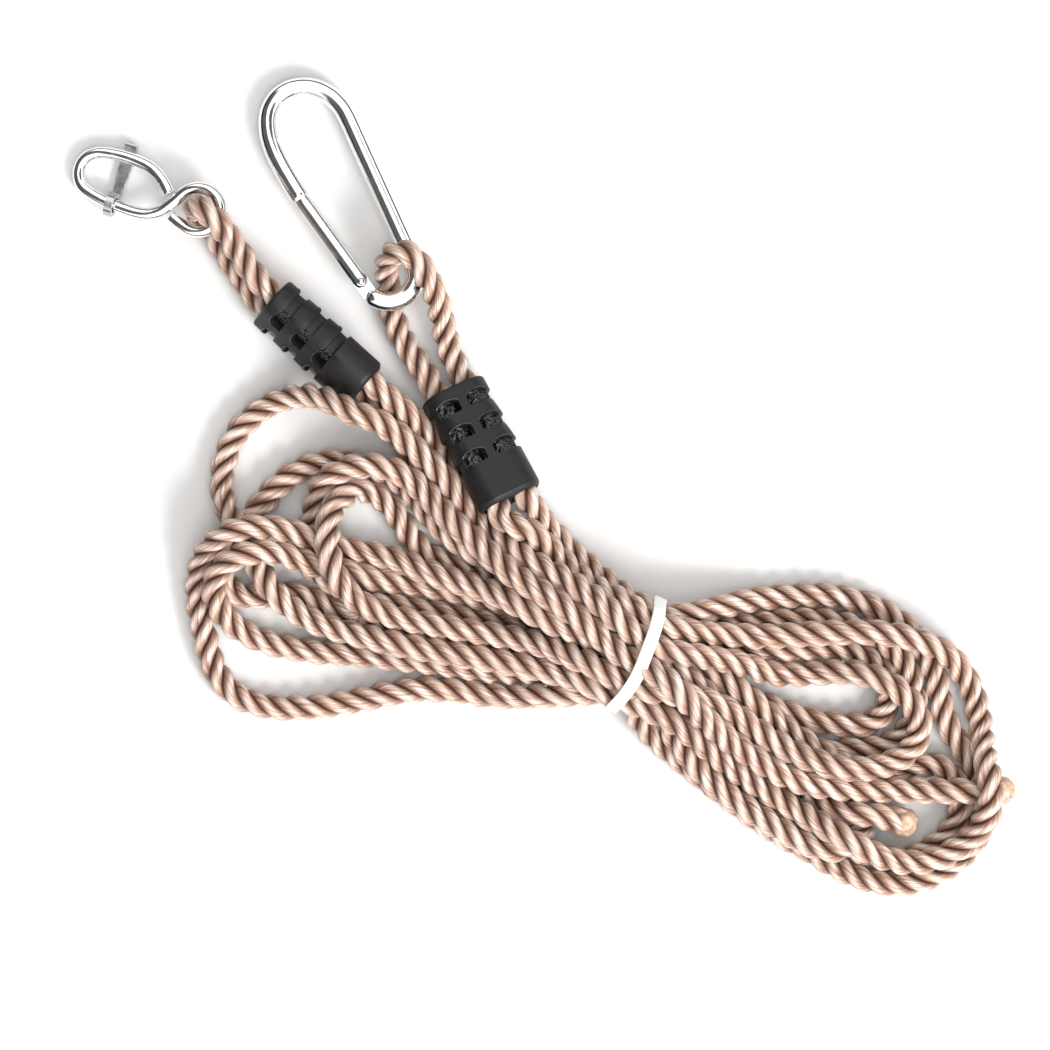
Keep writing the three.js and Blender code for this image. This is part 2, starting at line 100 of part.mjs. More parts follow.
  [[136.1,-46.7,5],[135.3,-48.6,1],[133.2,-53.1,0],[129.4,-61.4,0],[124.3,-72.4,0],[118.4,-85.2,0],[111.7,-99.9,0],[105.8,-112.7,0],[100.8,-123.7,0],[97,-132,0],[94.9,-136.6,1],[94.1,-138.4,5],[94.9,-136.6,9],[97,-132,14.5],[100.8,-123.7,24.9],[105.8,-112.7,24.7],[111.7,-99.9,21.5],[118.4,-85.2,15.9],[124.3,-72.4,16.5],[129.4,-61.4,16.7],[133.2,-53.1,14.5],[135.3,-48.6,9]],
  [[146.4,-53.1,5],[145.5,-55,1],[143.4,-59.5,0],[139.7,-67.8,0],[134.6,-78.7,0],[128.8,-91.5,0],[122,-106.2,0],[116.2,-119,0],[111.1,-129.9,0],[107.4,-138.2,0],[105.3,-142.7,1],[104.4,-144.6,5],[105.3,-142.7,9],[107.4,-138.2,14.5],[111.1,-129.9,10],[116.2,-119,10],[122,-106.2,20.2],[128.8,-91.5,15.6],[134.6,-78.7,15.4],[139.7,-67.8,14.4],[143.4,-59.5,14.5],[145.5,-55,9]],
  [[156.1,-60.8,5],[155.3,-62.5,1],[153.2,-67,0],[149.5,-75.1,0],[144.6,-85.8,0],[138.8,-98.4,0],[132.2,-112.7,0],[126.5,-125.3,0],[121.5,-136,0],[117.8,-144.1,0],[115.8,-148.6,1],[115,-150.4,5],[115.8,-148.6,9],[117.8,-144.1,14.2],[121.5,-136,23],[126.5,-125.3,8.1],[132.2,-112.7,17.7],[138.8,-98.4,15.4],[144.6,-85.8,14.8],[149.5,-75.1,13.2],[153.2,-67,14.2],[155.3,-62.5,9]],
  [[163.8,-72.7,5],[163,-74.4,1.2],[161.2,-78.4,0],[157.8,-85.7,0],[153.4,-95.5,0],[148.1,-106.8,0],[142.2,-119.8,0],[137,-131.2,0],[132.5,-140.9,0],[129.2,-148.2,0],[127.3,-152.3,1.2],[126.6,-153.9,5],[127.3,-152.3,8.8],[129.2,-148.2,12.7],[132.5,-140.9,21.6],[137,-131.2,3],[142.2,-119.8,3],[148.1,-106.8,14.3],[153.4,-95.5,14.6],[157.8,-85.7,13.9],[161.2,-78.4,12.7],[163,-74.4,8.8]],
  [[168.9,-90.3,5],[168.3,-91.6,1.5],[166.9,-94.7,0],[164.3,-100.4,0],[160.8,-107.9,0],[156.8,-116.7,0],[152.2,-126.8,0],[148.2,-135.6,0],[144.7,-143.1,0],[142.1,-148.8,0],[140.7,-151.9,1.5],[140.1,-153.2,5],[140.7,-151.9,8.5],[142.1,-148.8,10],[144.7,-143.1,19.4],[148.2,-135.6,18.1],[152.2,-126.8,16.6],[156.8,-116.7,18.3],[160.8,-107.9,6.4],[164.3,-100.4,20.8],[166.9,-94.7,10],[168.3,-91.6,8.5]],
  [[171.5,-107.1,5],[171.1,-107.9,2.2],[170.2,-109.9,0.4],[168.5,-113.5,0],[166.3,-118.3,0],[163.7,-123.9,0],[160.8,-130.4,0],[158.2,-136,0],[156,-140.8,0],[154.4,-144.4,0.4],[153.4,-146.4,2.2],[153.1,-147.2,5],[153.4,-146.4,7.8],[154.4,-144.4,9.6],[156,-140.8,14.5],[158.2,-136,20.2],[160.8,-130.4,21.1],[163.7,-123.9,6.4],[166.3,-118.3,6.4],[168.5,-113.5,6.4],[170.2,-109.9,5],[171.1,-107.9,4.4]],
  [[171.9,-115.7,5],[171.7,-116.2,2.7],[171.1,-117.5,1],[170,-119.9,0],[168.6,-123.1,0],[166.9,-126.8,0],[164.9,-131,0],[163.2,-134.7,0],[161.8,-137.9,0],[160.7,-140.2,1],[160.1,-141.6,2.7],[159.8,-142.1,5],[160.1,-141.6,7.3],[160.7,-140.2,9],[161.8,-137.9,10],[163.2,-134.7,16.9],[164.9,-131,23.4],[166.9,-126.8,25.1],[168.6,-123.1,6.4],[170,-119.9,5.6],[171.1,-117.5,4.7],[171.7,-116.2,4]],
  [[172.1,-120.6,5],[171.9,-121,3.1],[171.5,-121.9,1.6],[170.8,-123.5,0.4],[169.8,-125.6,0],[168.6,-128.1,0],[167.3,-131,0],[166.2,-133.5,0],[165.2,-135.6,0.4],[164.5,-137.3,1.6],[164.1,-138.2,3.1],[163.9,-138.5,5],[164.1,-138.2,6.9],[164.5,-137.3,8.4],[165.2,-135.6,9.6],[166.2,-133.5,11.1],[167.3,-131,17.2],[168.6,-128.1,17.2],[169.8,-125.6,5.9],[170.8,-123.5,5.3],[171.5,-121.9,4.7],[171.9,-121,4]]
];
// outline of the tied waist: across, up
const WAIST = [[-21.68,17.14],[-19.67,12.96],[-17.62,8.81],[-14.02,5.95],[-10.12,3.46],[-5.86,1.85],[-1.24,1.49],[3.38,1.39],[7.78,2.84],[12.16,4.34],[15.65,7.28],[18.7,10.77],[21.23,14.58],[21.54,19.2],[21.77,23.83],[20.36,28.1],[17.42,31.68],[14.44,35.22],[10.24,37.07],[5.82,38.46],[1.29,39.18],[-3.33,38.89],[-7.94,38.45],[-11.96,36.17],[-15.89,33.71],[-18.93,30.37],[-20.45,26],[-21.96,21.61]];
const WAIST_AT = [33.785,-63.526,0.000];
const WAIST_ALONG = [0.90892,-0.41696,0.00000];
const WAIST_ACROSS = [-0.41696,-0.90892,0.00000];

// ---- helpers ----
const V = (a) => new THREE.Vector3(a[0], a[1], a[2]);
const circle = (r, sides) => {
  const s = new THREE.Shape();
  for (let i = 0; i < sides; i++) {
    const a = (i / sides) * Math.PI * 2;
    if (i === 0) s.moveTo(r, 0); else s.lineTo(r * Math.cos(a), r * Math.sin(a));
  }
  s.closePath();
  return s;
};
const sweep = (points, r, sides, steps) =>
  new THREE.ExtrudeGeometry(circle(r, sides), {
    steps, bevelEnabled: false, extrudePath: new THREE.CatmullRomCurve3(points.map(V), false, 'centripetal'),
  });
const bare = (g) => {
  const c = g.clone();
  for (const name of Object.keys(c.attributes)) if (name !== 'position') c.deleteAttribute(name);
  return mergeVertices(c, 1e-4);
};
const solid = (g) => {
  const b = bare(g);
  return new wasm.Manifold(new wasm.Mesh({
    numProp: 3,
    vertProperties: new Float32Array(b.attributes.position.array),
    triVerts: new Uint32Array(b.index.array),
  }));
};
const geometry = (m) => {
  const k = m.getMesh();
  const g = new THREE.BufferGeometry();
  g.setAttribute('position', new THREE.BufferAttribute(new Float32Array(k.vertProperties), 3));
  g.setIndex(new THREE.BufferAttribute(new Uint32Array(k.triVerts), 1));
  return g;
};
// closed skin through rings of points, with flat ends
const loft = (rings) => {
  const n = rings[0].length;
  const pos = [];
  rings.forEach((r) => r.forEach((p) => pos.push(p[0], p[1], p[2])));
  const mid = (r) => {
    const c = [0, 0, 0];
    r.forEach((p) => { c[0] += p[0] / n; c[1] += p[1] / n; c[2] += p[2] / n; });
    return c;
  };
  pos.push(...mid(rings[0]), ...mid(rings[rings.length - 1]));
  const c0 = rings.length * n, c1 = c0 + 1;
  let tri = [];
  for (let k = 0; k + 1 < rings.length; k++)
    for (let i = 0; i < n; i++) {
      const j = (i + 1) % n, a = k * n, b = (k + 1) * n;
      tri.push(a + i, a + j, b + j, a + i, b + j, b + i);
    }
  for (let i = 0; i < n; i++) {
    const j = (i + 1) % n, b = (rings.length - 1) * n;
    tri.push(c0, j, i, c1, b + i, b + j);
  }
  let vol = 0;
  for (let i = 0; i < tri.length; i += 3) {
    const [a, b, c] = [tri[i], tri[i + 1], tri[i + 2]].map((k) => new THREE.Vector3(pos[3 * k], pos[3 * k + 1], pos[3 * k + 2]));
    vol += a.dot(b.cross(c));
  }
  if (vol < 0) for (let i = 0; i < tri.length; i += 3) [tri[i + 1], tri[i + 2]] = [tri[i + 2], tri[i + 1]];
  const g = new THREE.BufferGeometry();
  g.setAttribute('position', new THREE.BufferAttribute(new Float32Array(pos), 3));
  g.setIndex(tri);
  return g;
};
const frameOf = (x, y, z, at) => new THREE.Matrix4().makeBasis(V(x), V(y), V(z)).setPosition(V(at));
const placed = (g, m) => { const c = g.clone(); c.applyMatrix4(m); return c; };
const box = (x0, x1, y0, y1, z0, z1) =>
  new THREE.BoxGeometry(x1 - x0, y1 - y0, z1 - z0).translate((x0 + x1) / 2, (y0 + y1) / 2, (z0 + z1) / 2);
// round rod along local x, y or z
const rod = (r, a, b, axis, sides, shift = [0, 0, 0]) => {
  const g = new THREE.CylinderGeometry(r, r, b - a, sides);
  g.translate(0, (a + b) / 2, 0);
  if (axis === 'x') g.rotateZ(-Math.PI / 2);
  if (axis === 'z') g.rotateX(Math.PI / 2);
  return g.translate(shift[0], shift[1], shift[2]);
};

const group = new THREE.Group();
const add = (name, geom, color, roughness, metalness) => {
  const mesh = new THREE.Mesh(geom, new THREE.MeshStandardMaterial({ color, roughness, metalness }));
  mesh.name = name;
  group.add(mesh);
};
const ROPE = 0xd8b49c, STEEL = 0xd6d8da, BLACK = 0x161617;

// ---- rope ----
{
  // the tails lie in troughs of the hank, with a small gap all round
  let hank = solid(loft(HANK));
  for (const name of ['rope_tail_a', 'rope_tail_b']) {
    const r = ROPES[name], p = r.route, a = V(p[0]), b = V(p[p.length - 1]);
    const lead = V(p[1]).sub(a).setLength(-0.4), tail = V(p[p.length - 2]).sub(b).setLength(-6);
    const far = name === 'rope_tail_b' ? V(p[0]).add(V(p[1]).sub(a).setLength(-6)) : a.clone().add(lead);
    const end = name === 'rope_tail_b' ? b.clone().add(V(p[p.length - 2]).sub(b).setLength(-0.4)) : b.clone().add(tail);
    const route = [far.toArray(), ...p.slice(0), end.toArray()];
    hank = hank.subtract(solid(sweep(route, ROPE_R + 0.45, 12, r.steps + 2)));
    // open the trough upwards
    for (let i = 0; i + 1 < route.length; i++) {
      const u = V(route[i]), v = V(route[i + 1]), d = v.clone().sub(u), l = Math.hypot(d.x, d.y);
      const m = new THREE.Matrix4().makeBasis(new THREE.Vector3(d.x / l, d.y / l, 0), new THREE.Vector3(-d.y / l, d.x / l, 0), new THREE.Vector3(0, 0, 1));
      m.setPosition((u.x + v.x) / 2, (u.y + v.y) / 2, Math.min(u.z, v.z));
      hank = hank.subtract(solid(placed(box(-l / 2 - 0.5, l / 2 + 0.5, -ROPE_R - 0.4, ROPE_R + 0.4, 0, 40), m)));
    }
  }
  add('rope_hank', geometry(hank), 0xcfa98f, 0.75, 0);
}
for (const [name, r] of Object.entries(ROPES)) add(name, sweep(r.route, ROPE_R, ROPE_SIDES, r.steps), ROPE, 0.7, 0);

// ---- tie band round the waist ----
{
  const cx = WAIST.reduce((s, p) => s + p[0], 0) / WAIST.length;
  const cz = WAIST.reduce((s, p) => s + p[1], 0) / WAIST.length;
  const ring = (off, u) => WAIST.map(([t, z]) => {
    const d = Math.hypot(t - cx, z - cz), k = (d + off) / d;
    const tt = cx + (t - cx) * k, zz = cz + (z - cz) * k;
    return [
      WAIST_AT[0] + WAIST_ALONG[0] * u + WAIST_ACROSS[0] * tt,
      WAIST_AT[1] + WAIST_ALONG[1] * u + WAIST_ACROSS[1] * tt,
      zz,
    ];
  });
  const h = BAND_W / 2;
  const outer = solid(loft([ring(BAND_OUT, -h), ring(BAND_OUT, h)]));
  const inner = solid(loft([ring(BAND_IN, -h - 2), ring(BAND_IN, h + 2)]));
  add('tie_band', geometry(outer.subtract(inner)), 0xf2f2ef, 0.5, 0);
}

// ---- length adjusters ----
// shrink of the outline along the length: end ring, notch, tooth, notch, tooth, notch, collar
const PROFILE = [
  [0, 0.6], [0.6, 0], [6.0, 0], [6.3, 1.1], [9.7, 1.1], [9.9, 0.8], [16.5, 0], [16.8, 1.1], [20.2, 1.1], [20.4, 0.8],
  [27.0, 0], [27.3, 1.1], [30.6, 1.1], [31.0, 0.2], [31.5, 0], [-0.9, 0], [0, 0.9],
];
const WINDOW_ROWS = [[5.3, 9.6], [15.8, 20.1], [26.3, 30.6]];
const WINDOW_X = [1.6, 9.6];
const WINDOW_DEPTH = 2.1;
for (const [name, a] of Object.entries(ADJUSTERS)) {
  // the notches are cut in the two narrow sides only, and the end edges are eased all round
  const outline = (shrink, s, all) => {
    const pts = [], n = 11, c = ADJ_HALF_W - ADJ_R, r = ADJ_R - shrink, h = all ? r : ADJ_R;
    for (let i = 0; i < n; i++) { const t = -Math.PI / 2 + (i / (n - 1)) * Math.PI; pts.push([c + r * Math.cos(t), h * Math.sin(t), s]); }
    for (let i = 0; i < n; i++) { const t = Math.PI / 2 + (i / (n - 1)) * Math.PI; pts.push([-c + r * Math.cos(t), h * Math.sin(t), s]); }
    return pts;
  };
  const rings = PROFILE.map(([s, d], i) => outline(d, i < PROFILE.length - 2 ? s : a.length + s, i === 0 || i === PROFILE.length - 1));
  let body = solid(loft(rings));
  for (const x of [-CHANNEL_AT, CHANNEL_AT]) body = body.subtract(solid(rod(CHANNEL_R, -1, a.length + 1, 'z', 20, [x, 0, 0])));
  for (const [s0, s1] of WINDOW_ROWS)
    for (const side of [-1, 1])
      for (const face of [-1, 1]) {
        const x0 = side > 0 ? WINDOW_X[0] : -WINDOW_X[1], x1 = side > 0 ? WINDOW_X[1] : -WINDOW_X[0];
        const y0 = face > 0 ? ADJ_R - WINDOW_DEPTH : -ADJ_R - 1, y1 = face > 0 ? ADJ_R + 1 : -ADJ_R + WINDOW_DEPTH;
        body = body.subtract(solid(box(x0, x1, y0, y1, s0, s1)));
      }
  add(name, placed(geometry(body), frameOf(a.wide, a.face, a.along, a.mouth)), BLACK, 0.5, 0);
}

// ---- carabiner ----
{
  const m = frameOf(GATE_DIR, GATE_SIDE, CARABINER_UP, NOSE);
  const len = V(RIVET).sub(V(NOSE)).length();
  let body = solid(sweep(CARABINER, BAR_R, 14, 62));
  const nose = solid(placed(box(-3, 3.9, -1.7, 1.7, -NOSE_T / 2, NOSE_T / 2), m));
  let tongue = solid(rod(TONGUE_R, -TONGUE_T / 2, TONGUE_T / 2, 'z', 24, [len, 0, 0]))
    .add(solid(box(len, len + 6.2, -TONGUE_R + 0.02, TONGUE_R - 0.02, -TONGUE_T / 2 + 0.01, TONGUE_T / 2 - 0.01)));
  tongue = solid(placed(geometry(tongue), m));
  body = body.add(nose).add(tongue).subtract(solid(placed(rod(RIVET_HOLE_R, -6, 6, 'z', 16, [len, 0, 0]), m)));
  add('carabiner_body', geometry(body), STEEL, 0.2, 1);

  let gate = solid(rod(GATE_R, GATE_START, len + GATE_TAIL, 'x', 16));
  gate = gate.subtract(solid(box(-1, 4.5, -6, 6, -NOSE_SLOT / 2, NOSE_SLOT / 2)));
  gate = gate.subtract(solid(box(len - 3.3, len + 6, -6, 6, -GATE_SLOT / 2, GATE_SLOT / 2)));
  gate = gate.subtract(solid(rod(BORE_R, len - 20, len - 3, 'x', 12)));
  gate = gate.subtract(solid(rod(RIVET_HOLE_R, -6, 6, 'z', 16, [len, 0, 0])));
  add('carabiner_gate', placed(geometry(gate), m), STEEL, 0.22, 1);
  add('gate_rivet', placed(rod(RIVET_R, -3.1, 3.1, 'z', 16, [len, 0, 0]), m), STEEL, 0.3, 1);
  add('gate_plunger', placed(rod(1.35, len - 8.4, len - 3.15, 'x', 12), m), STEEL, 0.3, 1);
  const turns = 6, helix = [];
  for (let i = 0; i <= turns * 8; i++) {
    const a = (i / 8) * Math.PI * 2;
    helix.push([len - 19.2 + (i / (turns * 8)) * 10.2, 1.12 * Math.cos(a), 1.12 * Math.sin(a)]);
  }
  add('gate_spring', placed(sweep(helix, 0.2, 5, turns * 9), m), STEEL, 0.35, 1);
}

// ---- hook and keeper ----
add('hook_body', sweep(HOOK, WIRE_R, 12, 76), STEEL, 0.25, 1);
{
  const s = new THREE.Shape();
  const n = 18, out = KEEPER_OUT;
  // rolled eye, from its underside round the back and over to where the strip leaves it
  s.moveTo(0, -out);
  s.lineTo(KEEPER_REACH, -out);
  s.lineTo(KEEPER_REACH, -1.6);
  s.lineTo(KEEPER_REACH - 1.3, -1.6);
  s.lineTo(KEEPER_REACH - 1.7, -out + 2);
  const a0 = Math.asin((-out + 2) / out);
  for (let i = 0; i <= n; i++) {
    const a = a0 + (i / n) * (Math.PI * 1.5 - a0);
    if (i < n) s.lineTo(out * Math.cos(a), out * Math.sin(a));
  }
  s.closePath();
  const hole = new THREE.Path();
  for (let i = 0; i < 18; i++) {
    const a = -(i / 18) * Math.PI * 2;
    if (i === 0) hole.moveTo(KEEPER_IN, 0); else hole.lineTo(KEEPER_IN * Math.cos(a), KEEPER_IN * Math.sin(a));
  }
  hole.closePath();
  s.holes.push(hole);
  const g = new THREE.ExtrudeGeometry(s, { depth: KEEPER_W, steps: 1, bevelEnabled: false });
  g.translate(0, 0, -KEEPER_W / 2);
  add('hook_keeper', placed(g, frameOf(KEEPER_DIR, KEEPER_UP, KEEPER_AXIS, KEEPER_AT)), 0x8c8e90, 0.35, 1);
}

export default group;
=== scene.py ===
import math

import bpy
import numpy as np
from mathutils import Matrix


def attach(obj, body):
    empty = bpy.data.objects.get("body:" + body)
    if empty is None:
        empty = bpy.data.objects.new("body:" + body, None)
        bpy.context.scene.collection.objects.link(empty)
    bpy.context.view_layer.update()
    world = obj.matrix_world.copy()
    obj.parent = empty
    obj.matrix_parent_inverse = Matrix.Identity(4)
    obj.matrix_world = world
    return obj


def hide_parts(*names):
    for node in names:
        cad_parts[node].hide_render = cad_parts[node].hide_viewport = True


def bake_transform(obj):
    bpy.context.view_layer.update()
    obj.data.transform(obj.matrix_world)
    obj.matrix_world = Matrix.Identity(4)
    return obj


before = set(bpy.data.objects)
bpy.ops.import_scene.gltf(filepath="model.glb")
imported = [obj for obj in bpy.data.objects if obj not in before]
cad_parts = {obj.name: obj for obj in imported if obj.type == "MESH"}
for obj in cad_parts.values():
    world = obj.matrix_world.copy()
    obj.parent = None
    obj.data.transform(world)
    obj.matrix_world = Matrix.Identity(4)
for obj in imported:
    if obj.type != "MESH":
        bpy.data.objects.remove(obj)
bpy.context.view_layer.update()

MM = 0.001

# ---------------------------------------------------------------- camera
cam_data = bpy.data.cameras.new("camera")
cam = bpy.data.objects.new("camera", cam_data)
bpy.context.scene.collection.objects.link(cam)
CAM_H = 2.4
VIEW_W = 0.3947
LEVEL = 0.012
cam_data.sensor_width = 36.0
cam_data.lens = 36.0 * (CAM_H - LEVEL) / VIEW_W
cam_data.clip_end = 20.0
cam.location = (-0.00757, -0.01503, CAM_H)
cam.rotation_euler = (0.0, 0.0, 0.0)
bpy.context.scene.camera = cam

